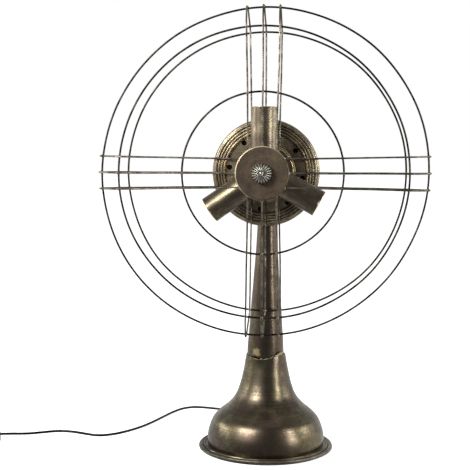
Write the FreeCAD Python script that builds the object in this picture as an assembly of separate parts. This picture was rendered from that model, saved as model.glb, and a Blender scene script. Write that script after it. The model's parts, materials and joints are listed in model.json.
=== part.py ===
"""Fan-shaped table lamp, in millimetres.

A bell base carries a tapered stem, and a tilting head on its top looks like a desk fan: a wire cage,
a ribbed pan at the back and a hub in the middle, with three lamp-holder sleeves in place of blades.
Origin: middle of the base on the table. +Z is up, the head faces -Y and +X is to its right.
Parts of the head are drawn on an axis of their own: x to the right, y up and z forward, out of the
face of the fan. "Forward" below is a distance along that axis from the stem's centre line.
"""

import FreeCAD, Part
import math
import os

from FreeCAD import Placement, Rotation, Vector

# --- base, heights above the table -----------------------------------------------------------------
FELT_R, FELT_H = 100.2, 2.0
PLATE_R, PLATE_TOP = 98.7, 3.2
FOOT_INNER_R, FOOT_LEDGE_Z = 84.0, 7.2
BEAD_R, BEAD_MID_R, BEAD_MID_Z, BEAD_END_DEG = 3.2, 103.6, 5.2, 30.0
COVE_R, COVE_Z = 99.5, 6.4
INNER_BEAD_TOP_R, INNER_BEAD_TOP_Z, INNER_BEAD_FOOT_R = 97.9, 8.5, 96.4
SHEET_T = 1.2
# the bell's outer outline from foot to neck, as (radius, height)
BELL_OUTLINE = [
    (92.6, FOOT_LEDGE_Z),
    (92.9, 20.0),
    (90.4, 34.0),
    (83.8, 50.0),
    (73.6, 61.0),
    (59.0, 73.0),
    (47.9, 87.0),
    (40.9, 105.0),
    (35.9, 126.0),
    (32.4, 144.0),
    (31.2, 150.0),
]
BALLAST_R, BALLAST_TOP = 80.0, 22.0
BALLAST_RECESS_R, BALLAST_RECESS_TOP = 12.0, 11.0
PLATE_SCREW_RING_R, PLATE_SCREW_COUNT = 88.0, 3
PLATE_SCREW_HEAD_R, PLATE_SCREW_HEAD_Z = 4.0, 0.6
PLATE_SCREW_R, PLATE_SCREW_TOP = 2.0, 6.5
SCREW_SLOT_W, SCREW_SLOT_DEPTH = 0.9, 0.7

# --- stem ------------------------------------------------------------------------------------------
NECK_DISC_R, NECK_DISC_Z, NECK_DISC_T = 30.6, 143.0, 2.5
STEM_FOOT_Z, STEM_TOP_Z = NECK_DISC_Z + NECK_DISC_T, 358.5
# the stem's outer outline, as (radius, height)
STEM_OUTLINE = [
    (29.2, STEM_FOOT_Z),
    (28.6, 165.0),
    (26.1, 201.0),
    (23.8, 233.0),
    (21.1, 267.0),
    (17.9, 310.0),
    (16.1, 345.0),
    (15.4, STEM_TOP_Z),
]
CAP_T = 2.0
ROD_R, ROD_BORE_R, ROD_FOOT_Z, ROD_TOP_Z = 5.0, 3.5, 4.2, 359.5
ROD_SLOT_HALF_W, ROD_SLOT_Z = 2.2, (24.0, 46.0)
NUT_ACROSS, NUT_H, NUT_FOOT_Z = 17.0, 5.0, 5.5

# --- tilting knuckle between stem and head ---------------------------------------------------------
FORK_FOOT_Z = STEM_TOP_Z + CAP_T
FORK_FOOT_R, FORK_FOOT_T = 13.0, 2.5
FORK_BOSS_R, FORK_BOSS_H = 8.0, 10.0
PIVOT_Z = 371.5
CHEEK_R, CHEEK_T = 7.0, 4.0
TONGUE_HALF_T, SIDE_PLAY = 4.0, 0.3
PIVOT_BOLT_R, RUNNING_PLAY = 3.0, 0.05
BOLT_HEAD_R, BOLT_HEAD_H, BOLT_TIP_X = 5.5, 3.5, 21.0
HAND_NUT_R, HAND_NUT_H, HAND_NUT_COLLAR_R, HAND_NUT_COLLAR_H = 7.0, 7.0, 5.2, 2.0
HAND_NUT_GROOVES, HAND_NUT_GROOVE_R = 18, 0.6
TONGUE_BACK_TOP_Y = 18.0
TONGUE_FLANGE_HALF_W, TONGUE_FLANGE_T, TONGUE_FLANGE_Y = 13.0, 2.5, (-46.0, -22.0)
TONGUE_SCREW_X, TONGUE_SCREW_Y = 8.5, -34.0

# --- head: stack along the forward axis ------------------------------------------------------------
HEAD_Z = 440.5
PLATE_BACK, PAN_FLOOR_BACK, PAN_FLOOR = 24.8, 27.8, 29.0
MOUNT_PLATE_R = 64.0
HOUSING_R, HOUSING_SHOULDER, HOUSING_BACK = 66.0, 12.0, -27.0
HOUSING_ROD_HOLE_R = 3.2
HOUSING_SLOT_PLAY = 0.4
PAN_R, PAN_SKIRT_BACK, PAN_HOLE_R, PAN_EDGE_R = 83.0, 18.0, 22.0, 4.0
RIDGE_FOOT_R, RIDGE_COUNT, RIDGE_LEVEL, RIDGE_H = 62.5, 4, 31.6, 1.9
RIDGE_BAND_END_R, PAN_BAND_BACK = 79.5, RIDGE_LEVEL - SHEET_T
VENT_R, VENT_RING_R, VENT_COUNT, VENT_FIRST_DEG = 4.0, 57.0, 8, 36.7
BOSS_R, BOSS_STEP = 46.0, 34.7
BOSS_NOSE_R, BOSS_FRONT = 38.5, 38.0
BOSS_SCREW_RING_R, BOSS_SCREW_COUNT, BOSS_SCREW_FIRST_DEG = 29.0, 3, 90.0
DRUM_R, DRUM_T, DRUM_FRONT = 37.0, 1.5, 117.0
HUB_DISC_R, HUB_DISC_T, HUB_DISC_EDGE_R = 40.0, 4.0, 1.9
TIE_ROD_R, TIE_ROD_BACK, TIE_ROD_FRONT = 3.0, -33.0, 134.0
CAP_NUT_R, CAP_NUT_H, CAP_NUT_DOME_H = 6.5, 5.0, 4.5
LEAD_HOLE_R, LEAD_RING_R = 2.6, 14.0
SMALL_SCREW_R, SMALL_SCREW_HEAD_R, SMALL_SCREW_HEAD_H = 1.9, 3.6, 2.4

# --- fluted finial knob ----------------------------------------------------------------------------
KNOB_R, KNOB_NECK_R, KNOB_CROWN_R, KNOB_GAP, KNOB_H = 15.6, 11.5, 13.6, 0.3, 17.0
KNOB_NECK_H, KNOB_BAND_H, KNOB_BORE_DEPTH = 2.0, 10.0, 13.5
KNOB_FLUTES, KNOB_FLUTE_R, KNOB_FLUTE_RING_R = 20, 1.5, 16.0

# --- lamp holders, distances from the head's axis along each sleeve --------------------------------
SLEEVE_R, SLEEVE_T, SLEEVE_FOOT, SLEEVE_FORWARD = 20.25, 0.9, 32.0, 72.0
SLEEVES = {"top": (90.0, 99.0), "left": (214.5, 100.0), "right": (331.0, 95.0)}
SLEEVE_MOUTH_ROLL_R = 0.8
HOLDER_R, HOLDER_FOOT, HOLDER_FLOOR, HOLDER_MOUTH_BACK = 18.9, 37.5, 56.5, 5.0
HOLDER_BORE_R = 13.9
SHELL_R, SHELL_BORE_R, SHELL_FOOT, SHELL_TOP = 13.85, 13.35, 60.0, 88.0
CONTACT_R, CONTACT_H, CONTACT_BUTTON_R, CONTACT_BUTTON_H = 6.0, 1.0, 2.6, 2.2
LEAD_R, LEAD_BEND_R = 1.7, 7.0

# --- wire cage -------------------------------------------------------------------------------------
RING_WIRE_R, ARM_WIRE_R, WELD = 1.5, 1.3, 0.3
OUTER_RING_R, GUARD_RING_R, INNER_RING_R = 247.0, 215.0, 119.5
OUTER_RING_FORWARD = 70.0
ARM_HUB_R, ARM_BOSS_R = 36.5, 40.5
ARM_FRONT_AT_GUARD, ARM_REAR_AT_GUARD = 110.0, 34.5
ARM_TIP_HALF_W = 12.0
ARM_BEND_R, ARM_BEND_START = 13.0, 5.0
ARM_SPREAD_HUB, ARM_SPREAD_TIP = 21.0, 24.8
ARMS = {"right": 0.0, "top": 90.0, "left": 180.0, "bottom": 270.0}

# --- wiring in the base ----------------------------------------------------------------------------
TERMINAL_SIZE, TERMINAL_FOOT = (38.0, 18.0, 14.0), (-19.0, 24.0, 22.0)
HEAD_TERMINAL_X, HEAD_TERMINAL_Y, HEAD_TERMINAL_FORWARD = (-20.0, 20.0), (-14.0, 20.0), (4.0, 14.0)
HEAD_TERMINAL_HOLE_R = 4.0
CORD_R = 2.1
GROMMET_Z, GROMMET_BODY_R, GROMMET_FLANGE_R, GROMMET_TIP_R = 26.0, 5.0, 7.0, 3.1
GROMMET_INNER, GROMMET_WALL_INNER, GROMMET_WALL_OUTER = 86.5, 89.0, 93.4
GROMMET_CONE_FOOT, GROMMET_TIP = 95.9, 124.0
STEM_LEAD_R, STEM_LEAD_BEND_R = 1.6, 6.0
STEM_LEAD_ROUTE = [(0.0, 24.0, 29.0), (0.0, 11.0, 29.0), (0.0, 0.0, 43.0), (0.0, 0.0, 355.5)]

# --- mains cord: free route from the grommet to the switch, then to the coil -------------------------
CORD_ARC_SHARE = 0.45
LEAD_ROUTE = [
    (0.0, GROMMET_TIP, GROMMET_Z),
    (-1.0, 144.0, 24.4),
    (-5.0, 166.0, 16.6),
    (-13.0, 188.0, 6.6),
    (-26.0, 210.0, CORD_R),
    (-46.0, 229.0, CORD_R),
    (-73.0, 238.0, CORD_R),
    (-104.0, 243.0, CORD_R),
    (-130.0, 252.0, CORD_R),
    (-152.0, 253.0, CORD_R),
    (-169.0, 239.0, CORD_R),
    (-181.0, 214.0, CORD_R),
    (-192.0, 180.0, CORD_R),
    (-203.0, 144.0, CORD_R),
    (-214.0, 113.0, CORD_R),
    (-226.0, 88.0, CORD_R),
    (-240.0, 66.0, CORD_R),
    (-258.0, 45.0, CORD_R),
    (-281.0, 34.0, CORD_R),
    (-305.0, 44.0, CORD_R),
    (-330.0, 56.0, CORD_R),
    (-355.0, 58.0, CORD_R),
    (-378.0, 46.0, CORD_R),
    (-402.0, 34.0, CORD_R),
    (-427.0, 32.0, CORD_R),
    (-442.0, 22.0, 3.8),
    (-446.0, 4.0, 7.5),
]
SWITCH_X, SWITCH_NEAR_Y, SWITCH_FAR_Y, SWITCH_Z = -446.0, 0.0, -60.0, 7.5
SWITCH_HALF_W, SWITCH_SPLIT_Z, SWITCH_TOP_Z, SWITCH_WALL = 11.0, 7.5, 15.0, 1.6
SWITCH_NECK_L, SWITCH_NECK_R, SWITCH_CORNER_R = 4.0, 3.6, 4.0
ROCKER_Y, ROCKER_HALF_W, ROCKER_HALF_L, ROCKER_AXLE_Z = -30.0, 4.6, 9.0, 12.0
ROCKER_TILT_DEG, ROCKER_PLAY, ROCKER_RISE, ROCKER_DEPTH = 7.0, 0.5, 5.0, 2.4
ROCKER_AXLE_R, ROCKER_AXLE_REACH, ROCKER_BEARING_L = 1.3, 1.6, 6.0
ROCKER_DIP, ROCKER_EDGE = 1.0, 2.0
LINK_ROUTE = [
    (SWITCH_X, SWITCH_FAR_Y - SWITCH_NECK_L, SWITCH_Z),
    (SWITCH_X, -75.0, 6.5),
    (SWITCH_X, -86.0, 4.2),
]
COIL_MID_R, COIL_HALF_W, COIL_H = 24.0, 6.5, 12.4
COIL_X, COIL_Y = SWITCH_X - COIL_MID_R, -106.0
PLUG_X, PLUG_NECK_Y, PLUG_BODY_Y, PLUG_FACE_Y = -498.0, -92.0, -86.0, -50.0
PLUG_HALF_T, PLUG_NARROW, PLUG_WIDE = 6.85, 6.5, 13.0
PIN_R, PIN_L, PIN_HALF_PITCH, PIN_ROOT = 2.0, 19.0, 9.3, 4.0

UP = Vector(0, 0, 1)
ORIGIN = Vector(0, 0, 0)


# --- helpers ---------------------------------------------------------------------------------------
def line(start, end):
    """A straight edge between two (radius, height) points of an outline."""
    return Part.makeLine(Vector(start[0], 0, start[1]), Vector(end[0], 0, end[1]))


def arc(start, middle, end):
    """A circular edge through three (radius, height) points of an outline."""
    points = [Vector(r, 0, h) for r, h in (start, middle, end)]
    return Part.Arc(*points).toShape()


def curve(points):
    """A smooth edge through the (radius, height) points of an outline."""
    spline = Part.BSplineCurve()
    spline.interpolate([Vector(r, 0, h) for r, h in points])
    return spline.toShape()


def spin(edges):
    """A solid of revolution about the vertical axis, from the edges of a closed outline."""
    face = Part.Face(Part.Wire(edges))
    return face.revolve(ORIGIN, UP, 360)


def spin_polygon(points):
    """A solid of revolution from the corners of a straight-sided outline."""
    return spin([line(a, b) for a, b in zip(points, points[1:] + points[:1])])


def inset(points, distance):
    """An outline that runs upwards, moved towards the axis, with its ends kept at their heights."""
    moved = []
    for i, (r, h) in enumerate(points):
        before = points[max(i - 1, 0)]
        after = points[min(i + 1, len(points) - 1)]
        run = math.hypot(after[0] - before[0], after[1] - before[1])
        inner_r = r - distance * (after[1] - before[1]) / run
        inner_h = h + distance * (after[0] - before[0]) / run
        moved.append((inner_r, inner_h))
    moved[0] = (moved[0][0], points[0][1])
    moved[-1] = (moved[-1][0], points[-1][1])
    return moved


def spun_sheet(points, thickness):
    """A sheet-metal shell whose outer outline passes through the points."""
    inner = inset(points, thickness)
    edges = [
        curve(points),
        line(points[-1], inner[-1]),
        curve(list(reversed(inner))),
        line(inner[0], points[0]),
    ]
    return spin(edges)


def tube(outer_r, inner_r, foot, top):
    """A straight round tube along the vertical axis."""
    outer = Part.makeCylinder(outer_r, top - foot, Vector(0, 0, foot))
    return outer.cut(Part.makeCylinder(inner_r, top - foot, Vector(0, 0, foot)))


def hex_prism(across_flats, height, foot):
    """A hexagonal prism on the vertical axis."""
    corner_r = across_flats / math.sqrt(3)
    corners = [turned(Vector(corner_r, 0, foot), 60 * i) for i in range(6)]
    outline = Part.makePolygon(corners + corners[:1])
    return Part.Face(outline).extrude(Vector(0, 0, height))


def turned(point, degrees):
    """A point turned about the vertical axis."""
    return Rotation(UP, degrees).multVec(point)


def ring_of(shape, radius, count, first_deg=0.0):
    """Copies of a shape on the axis, spaced evenly on a circle."""
    copies = []
    for i in range(count):
        copy = shape.copy()
        copy.translate(turned(Vector(radius, 0, 0), first_deg + 360.0 * i / count))
        copies.append(copy)
    return copies


def dome_radius(rim_r, height):
    """Radius of the sphere whose cap has this rim and this height."""
    return (rim_r**2 + height**2) / (2 * height)


def cut_all(shape, tools):
    """A shape with each tool cut away."""
    return shape.cut(Part.makeCompound(tools))


def bent_path(points, radius_at):
    """Straight runs joined by tangent arcs; radius_at(index, shorter run, turn) gives each arc."""
    corners = [Vector(*p) for p in points]
    edges = []
    radii = []
    start = corners[0]
    for i in range(1, len(corners) - 1):
        back = corners[i - 1] - corners[i]
        ahead = corners[i + 1] - corners[i]
        half_turn = (math.pi - back.getAngle(ahead)) / 2
        radius = radius_at(min(back.Length, ahead.Length), half_turn)
        reach = radius * math.tan(half_turn)
        enter = corners[i] + back.normalize() * reach
        leave = corners[i] + ahead.normalize() * reach
        inward = (back + ahead).normalize()
        middle = corners[i] + inward * (radius / math.cos(half_turn) - radius)
        edges.append(Part.LineSegment(start, enter).toShape())
        edges.append(Part.Arc(enter, middle, leave).toShape())
        start = leave
        radii.append(radius)
    edges.append(Part.LineSegment(start, corners[-1]).toShape())
    return Part.Wire(edges), radii


def round_bar(path, radius):
    """A round bar along a path of lines and arcs."""
    first = path.Edges[0]
    start = first.valueAt(first.FirstParameter)
    along = first.tangentAt(first.FirstParameter)
    section = Part.Wire(Part.makeCircle(radius, start, along))
    return path.makePipeShell([section], True, False)


def bent_bar(points, radius, bend_r):
    """A bar bent with the same radius at every corner."""
    path, _ = bent_path(points, lambda run, half_turn: bend_r)
    return round_bar(path, radius)


def cord_tube(name, points):
    """A stretch of cord; its bends are as large as their runs allow, and its facts are printed."""
    path, radii = bent_path(points, lambda run, half: CORD_ARC_SHARE * run / math.tan(half))
    solid = round_bar(path, CORD_R)
    expected = math.pi * CORD_R**2 * path.Length
    radius_text = " ".join(f"{r:.0f}" for r in radii)
    print(f"{name}: length {path.Length:.1f}, volume ratio {solid.Volume / expected:.4f}")
    print(f"{name}: bend radii {radius_text}")
    return solid


def in_head(shape):
    """Moves a shape from the head's own axis to its place in the lamp."""
    placed = shape.copy()
    placed.Placement = Placement(Vector(0, 0, HEAD_Z), Rotation(Vector(1, 0, 0), 90)).multiply(
        placed.Placement
    )
    return placed


def on_sleeve_axis(shape, degrees):
    """Moves a shape drawn up the vertical axis onto a sleeve's axis, in the head's own frame."""
    placed = shape.copy()
    lay_out = Rotation(UP, degrees).multiply(Rotation(Vector(0, 1, 0), 90))
    placed.Placement = Placement(Vector(0, 0, SLEEVE_FORWARD), lay_out).multiply(placed.Placement)
    return placed


def pan_screw(head_r, head_h, shank_r, shank_l):
    """A pan-head screw: its head sits below z = 0 and its shank points up."""
    head = Part.makeCylinder(head_r, head_h, Vector(0, 0, -head_h))
    slot_corner = Vector(-head_r, -SCREW_SLOT_W / 2, -head_h)
    slot = Part.makeBox(2 * head_r, SCREW_SLOT_W, SCREW_SLOT_DEPTH, slot_corner)
    return head.cut(slot).fuse(Part.makeCylinder(shank_r, shank_l))


# --- base ------------------------------------------------------------------------------------------
def plate_screws():
    """Screws that hold the bottom plate to the foot ring."""
    head_h = FELT_H - PLATE_SCREW_HEAD_Z
    screw = pan_screw(PLATE_SCREW_HEAD_R, head_h, PLATE_SCREW_R, PLATE_SCREW_TOP - FELT_H)
    screw.translate(Vector(0, 0, FELT_H))
    return ring_of(screw, PLATE_SCREW_RING_R, PLATE_SCREW_COUNT)


def felt_pad():
    """Felt disc under the base, with holes for the screw heads."""
    pad = Part.makeCylinder(FELT_R, FELT_H)
    hole = Part.makeCylinder(PLATE_SCREW_HEAD_R, FELT_H)
    return cut_all(pad, ring_of(hole, PLATE_SCREW_RING_R, PLATE_SCREW_COUNT))


def bottom_plate():
    """Steel plate that closes the base from below."""
    plate = Part.makeCylinder(PLATE_R, PLATE_TOP - FELT_H, Vector(0, 0, FELT_H))
    return cut_all(plate, plate_screws())


def foot_ring():
    """Moulded ring round the foot: an inner bead, a cove and a rolled outer bead."""
    bead_foot = (BEAD_MID_R, BEAD_MID_Z - BEAD_R)
    bead_side = (BEAD_MID_R + BEAD_R, BEAD_MID_Z)
    end_turn = math.radians(BEAD_END_DEG)
    bead_end = (BEAD_MID_R - BEAD_R * math.sin(end_turn), BEAD_MID_Z + BEAD_R * math.cos(end_turn))
    edges = [
        line((FOOT_INNER_R, PLATE_TOP), (PLATE_R, PLATE_TOP)),
        line((PLATE_R, PLATE_TOP), (PLATE_R, FELT_H)),
        line((PLATE_R, FELT_H), bead_foot),
        arc(bead_foot, bead_side, bead_end),
        line(bead_end, (COVE_R, COVE_Z)),
        arc((COVE_R, COVE_Z), (INNER_BEAD_TOP_R, INNER_BEAD_TOP_Z), (INNER_BEAD_FOOT_R, FOOT_LEDGE_Z)),
        line((INNER_BEAD_FOOT_R, FOOT_LEDGE_Z), (FOOT_INNER_R, FOOT_LEDGE_Z)),
        line((FOOT_INNER_R, FOOT_LEDGE_Z), (FOOT_INNER_R, PLATE_TOP)),
    ]
    return cut_all(spin(edges), plate_screws())


def along_back(shape):
    """Lays a shape drawn up the vertical axis along +Y, at the height of the cord's outlet."""
    placed = shape.copy()
    placed.rotate(ORIGIN, Vector(1, 0, 0), -90)
    placed.translate(Vector(0, 0, GROMMET_Z))
    return placed


def base_bell():
    """Spun bell of the base, with the cord's hole at the back."""
    hole = along_back(Part.makeCylinder(GROMMET_BODY_R, GROMMET_TIP))
    return spun_sheet(BELL_OUTLINE, SHEET_T).cut(hole)


def cord_grommet():
    """Bushing in the bell's back wall, with a tapered tail that guards the cord's exit."""
    outline = [
        (CORD_R, GROMMET_INNER),
        (GROMMET_FLANGE_R, GROMMET_INNER),
        (GROMMET_FLANGE_R, GROMMET_WALL_INNER),
        (GROMMET_BODY_R, GROMMET_WALL_INNER),
        (GROMMET_BODY_R, GROMMET_WALL_OUTER),
        (GROMMET_FLANGE_R, GROMMET_WALL_OUTER),
        (GROMMET_FLANGE_R, GROMMET_CONE_FOOT),
        (GROMMET_BODY_R, GROMMET_CONE_FOOT),
        (GROMMET_TIP_R, GROMMET_TIP),
        (CORD_R, GROMMET_TIP),
    ]
    return along_back(spin_polygon(outline))


def ballast():
    """Cast-iron weight on the bottom plate, recessed underneath for the rod's nut."""
    disc = Part.makeCylinder(BALLAST_R, BALLAST_TOP - PLATE_TOP, Vector(0, 0, PLATE_TOP))
    recess_h = BALLAST_RECESS_TOP - PLATE_TOP
    recess = Part.makeCylinder(BALLAST_RECESS_R, recess_h, Vector(0, 0, PLATE_TOP))
    return cut_all(disc, [recess, Part.makeCylinder(ROD_R, BALLAST_TOP)])


def base_terminal():
    """Terminal block on the ballast, where the cord meets the stem's lead."""
    return Part.makeBox(*TERMINAL_SIZE, Vector(*TERMINAL_FOOT))


def base_cord_tail():
    """The cord's first stretch, from the terminal block through the grommet."""
    block_back = TERMINAL_FOOT[1] + TERMINAL_SIZE[1]
    return along_back(Part.makeCylinder(CORD_R, GROMMET_TIP - block_back, Vector(0, 0, block_back)))


# --- stem ------------------------------------------------------------------------------------------
def neck_disc():
    """Disc brazed into the bell's neck, which the stem stands on."""
    disc = Part.makeCylinder(NECK_DISC_R, NECK_DISC_T, Vector(0, 0, NECK_DISC_Z))
    return disc.cut(Part.makeCylinder(ROD_R, STEM_FOOT_Z))


def stem_rod():
    """Hollow threaded rod that clamps the base and the stem, slotted low down for its lead."""
    rod = tube(ROD_R, ROD_BORE_R, ROD_FOOT_Z, ROD_TOP_Z)
    low, high = ROD_SLOT_Z
    slot = Part.makeBox(2 * ROD_SLOT_HALF_W, 2 * ROD_R, high - low, Vector(-ROD_SLOT_HALF_W, 0, low))
    return rod.cut(slot)


def rod_nuts():
    """Nuts on the rod: one in the ballast's recess and one under the neck disc."""
    nuts = []
    for foot in (NUT_FOOT_Z, NECK_DISC_Z - NUT_H):
        nut = hex_prism(NUT_ACROSS, NUT_H, foot)
        nuts.append(nut.cut(Part.makeCylinder(ROD_R, foot + NUT_H)))
    return Part.makeCompound(nuts)


def stem_cap():
    """Disc that closes the stem's top."""
    disc = Part.makeCylinder(STEM_OUTLINE[-1][0], CAP_T, Vector(0, 0, STEM_TOP_Z))
    return disc.cut(Part.makeCylinder(FORK_BOSS_R, FORK_FOOT_Z))


# --- knuckle ---------------------------------------------------------------------------------------
def across_pivot(radius, start_x, end_x):
    """A round bar on the pivot's axis."""
    start = Vector(start_x, 0, PIVOT_Z)
    return Part.makeCylinder(radius, end_x - start_x, start, Vector(1, 0, 0))


def tilt_fork():
    """Fork screwed on the rod's top: a threaded boss, a round foot and two cheeks."""
    foot = Part.makeCylinder(FORK_FOOT_R, FORK_FOOT_T, Vector(0, 0, FORK_FOOT_Z))
    boss = Part.makeCylinder(FORK_BOSS_R, FORK_BOSS_H, Vector(0, 0, FORK_FOOT_Z - FORK_BOSS_H))
    fork = foot.fuse(boss)
    cheek_in = TONGUE_HALF_T + SIDE_PLAY
    for start_x in (cheek_in, -cheek_in - CHEEK_T):
        corner = Vector(start_x, -CHEEK_R, FORK_FOOT_Z)
        post = Part.makeBox(CHEEK_T, 2 * CHEEK_R, PIVOT_Z - FORK_FOOT_Z, corner)
        fork = fork.fuse(post).fuse(across_pivot(CHEEK_R, start_x, start_x + CHEEK_T))
    rod_hole = Part.makeCylinder(ROD_R, ROD_TOP_Z)
    lead_hole = Part.makeCylinder(ROD_BORE_R, FORK_FOOT_Z + FORK_FOOT_T)
    bolt_hole = across_pivot(PIVOT_BOLT_R, -FORK_FOOT_R, FORK_FOOT_R)
    return cut_all(fork, [rod_hole, lead_hole, bolt_hole])


def tilt_bolt():
    """Bolt through the fork and the tongue, with its head on the left."""
    head_in = -(TONGUE_HALF_T + SIDE_PLAY + CHEEK_T)
    head = across_pivot(BOLT_HEAD_R, head_in - BOLT_HEAD_H, head_in)
    return head.fuse(across_pivot(PIVOT_BOLT_R, head_in, BOLT_TIP_X))


def tilt_hand_nut():
    """Grooved round nut that clamps the knuckle by hand."""
    start = TONGUE_HALF_T + SIDE_PLAY + CHEEK_T + SIDE_PLAY
    collar = across_pivot(HAND_NUT_COLLAR_R, start, start + HAND_NUT_COLLAR_H)
    grip_start = start + HAND_NUT_COLLAR_H
    grip = across_pivot(HAND_NUT_R, grip_start, grip_start + HAND_NUT_H)
    grooves = []
    for i in range(HAND_NUT_GROOVES):
        groove = across_pivot(HAND_NUT_GROOVE_R, grip_start, grip_start + HAND_NUT_H)
        groove.translate(Vector(0, 0, HAND_NUT_R))
        groove.rotate(Vector(0, 0, PIVOT_Z), Vector(1, 0, 0), 360.0 * i / HAND_NUT_GROOVES)
        grooves.append(groove)
    bore = across_pivot(PIVOT_BOLT_R + RUNNING_PLAY, 0, 2 * BOLT_TIP_X)
    return cut_all(collar.fuse(grip), grooves + [bore])


def tongue_web(play):
    """The tongue's upright web, from the pivot up into the housing; play makes it thicker."""
    half_t = TONGUE_HALF_T + play
    corners = [
        (CHEEK_R + play, PIVOT_Z),
        (CHEEK_R + play, PIVOT_Z + TONGUE_BACK_TOP_Y),
        (-PLATE_BACK, HEAD_Z + TONGUE_FLANGE_Y[1]),
        (-PLATE_BACK, HEAD_Z + TONGUE_FLANGE_Y[0]),
        (-CHEEK_R - play, PIVOT_Z + CHEEK_R),
        (-CHEEK_R - play, PIVOT_Z),
    ]
    outline = Part.makePolygon([Vector(-half_t, y, z) for y, z in corners + corners[:1]])
    web = Part.Face(outline).extrude(Vector(2 * half_t, 0, 0))
    return web.fuse(across_pivot(CHEEK_R + play, -half_t, half_t))


def tongue_screws():
    """Screws that hold the tongue's flange to the mounting plate."""
    screws = []
    for x in (-TONGUE_SCREW_X, TONGUE_SCREW_X):
        shank_l = TONGUE_FLANGE_T + PAN_FLOOR_BACK - PLATE_BACK
        screw = pan_screw(SMALL_SCREW_HEAD_R, SMALL_SCREW_HEAD_H, SMALL_SCREW_R, shank_l)
        screw.translate(Vector(x, TONGUE_SCREW_Y, PLATE_BACK - TONGUE_FLANGE_T))
        screws.append(in_head(screw))
    return Part.makeCompound(screws)


def tilt_tongue():
    """Tongue that turns in the fork and carries the head by a flange."""
    low, high = TONGUE_FLANGE_Y
    corner = Vector(-TONGUE_FLANGE_HALF_W, low, PLATE_BACK - TONGUE_FLANGE_T)
    flange = in_head(Part.makeBox(2 * TONGUE_FLANGE_HALF_W, high - low, TONGUE_FLANGE_T, corner))
    bolt_hole = across_pivot(PIVOT_BOLT_R + RUNNING_PLAY, -BOLT_TIP_X, BOLT_TIP_X)
    return cut_all(tongue_web(0).fuse(flange), [bolt_hole, tongue_screws()])


# --- head shells -----------------------------------------------------------------------------------
def sleeve_leads():
    """Insulated leads from each lamp holder to the terminal block in the housing."""
    leads = []
    for degrees, _ in SLEEVES.values():
        out = turned(Vector(1, 0, 0), degrees)
        start = out * HOLDER_FOOT + Vector(0, 0, SLEEVE_FORWARD)
        bend = out * LEAD_RING_R + Vector(0, 0, SLEEVE_FORWARD)
        end = out * LEAD_RING_R + Vector(0, 0, HEAD_TERMINAL_FORWARD[1])
        leads.append(bent_bar([start, bend, end], LEAD_R, LEAD_BEND_R))
    return Part.makeCompound(leads)


def lead_holes():
    """Tools that open the stack of head parts for the leads."""
    length = BOSS_FRONT - PLATE_BACK
    holes = []
    for degrees, _ in SLEEVES.values():
        foot = turned(Vector(LEAD_RING_R, 0, PLATE_BACK), degrees)
        holes.append(Part.makeCylinder(LEAD_HOLE_R, length, foot))
    return holes


def boss_screws():
    """Screws from the mounting plate through the pan into the boss."""
    screw = pan_screw(SMALL_SCREW_HEAD_R, SMALL_SCREW_HEAD_H, SMALL_SCREW_R, BOSS_STEP - PLATE_BACK)
    screw.translate(Vector(0, 0, PLATE_BACK))
    return Part.makeCompound(
        ring_of(screw, BOSS_SCREW_RING_R, BOSS_SCREW_COUNT, BOSS_SCREW_FIRST_DEG)
    )


def tie_rod():
    """Threaded rod through the whole head, from the cap nut to the finial knob."""
    length = TIE_ROD_FRONT - TIE_ROD_BACK
    return Part.makeCylinder(TIE_ROD_R, length, Vector(0, 0, TIE_ROD_BACK))


def mounting_plate():
    """Steel plate between the housing and the pan, which carries the whole head."""
    plate = Part.makeCylinder(MOUNT_PLATE_R, PAN_FLOOR_BACK - PLATE_BACK, Vector(0, 0, PLATE_BACK))
    solid = in_head(cut_all(plate, lead_holes() + [tie_rod(), boss_screws()]))
    return solid.cut(tongue_screws())


def rear_housing():
    """Domed housing behind the pan: a short skirt and a spherical back, slotted for the tongue."""
    shoulder = (HOUSING_R, HOUSING_SHOULDER)
    depth = HOUSING_SHOULDER - HOUSING_BACK
    dome_r = dome_radius(HOUSING_R, depth)
    dome_mid = HOUSING_BACK + dome_r
    half_way = math.asin(HOUSING_R / dome_r) / 2

    def shell_point(radius, angle):
        return (radius * math.sin(angle), dome_mid - radius * math.cos(angle))

    inner_r = dome_r - SHEET_T
    inner_end = math.asin((HOUSING_R - SHEET_T) / inner_r)
    inner_shoulder = shell_point(inner_r, inner_end)
    edges = [
        line((HOUSING_R, PAN_BAND_BACK), shoulder),
        arc(shoulder, shell_point(dome_r, half_way), (0, HOUSING_BACK)),
        line((0, HOUSING_BACK), (0, HOUSING_BACK + SHEET_T)),
        arc((0, HOUSING_BACK + SHEET_T), shell_point(inner_r, inner_end / 2), inner_shoulder),
        line(inner_shoulder, (HOUSING_R - SHEET_T, PAN_BAND_BACK)),
        line((HOUSING_R - SHEET_T, PAN_BAND_BACK), (HOUSING_R, PAN_BAND_BACK)),
    ]
    rod_hole = Part.makeCylinder(HOUSING_ROD_HOLE_R, -HOUSING_BACK, Vector(0, 0, HOUSING_BACK))
    return in_head(spin(edges).cut(rod_hole)).cut(tongue_web(HOUSING_SLOT_PLAY))


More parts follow.
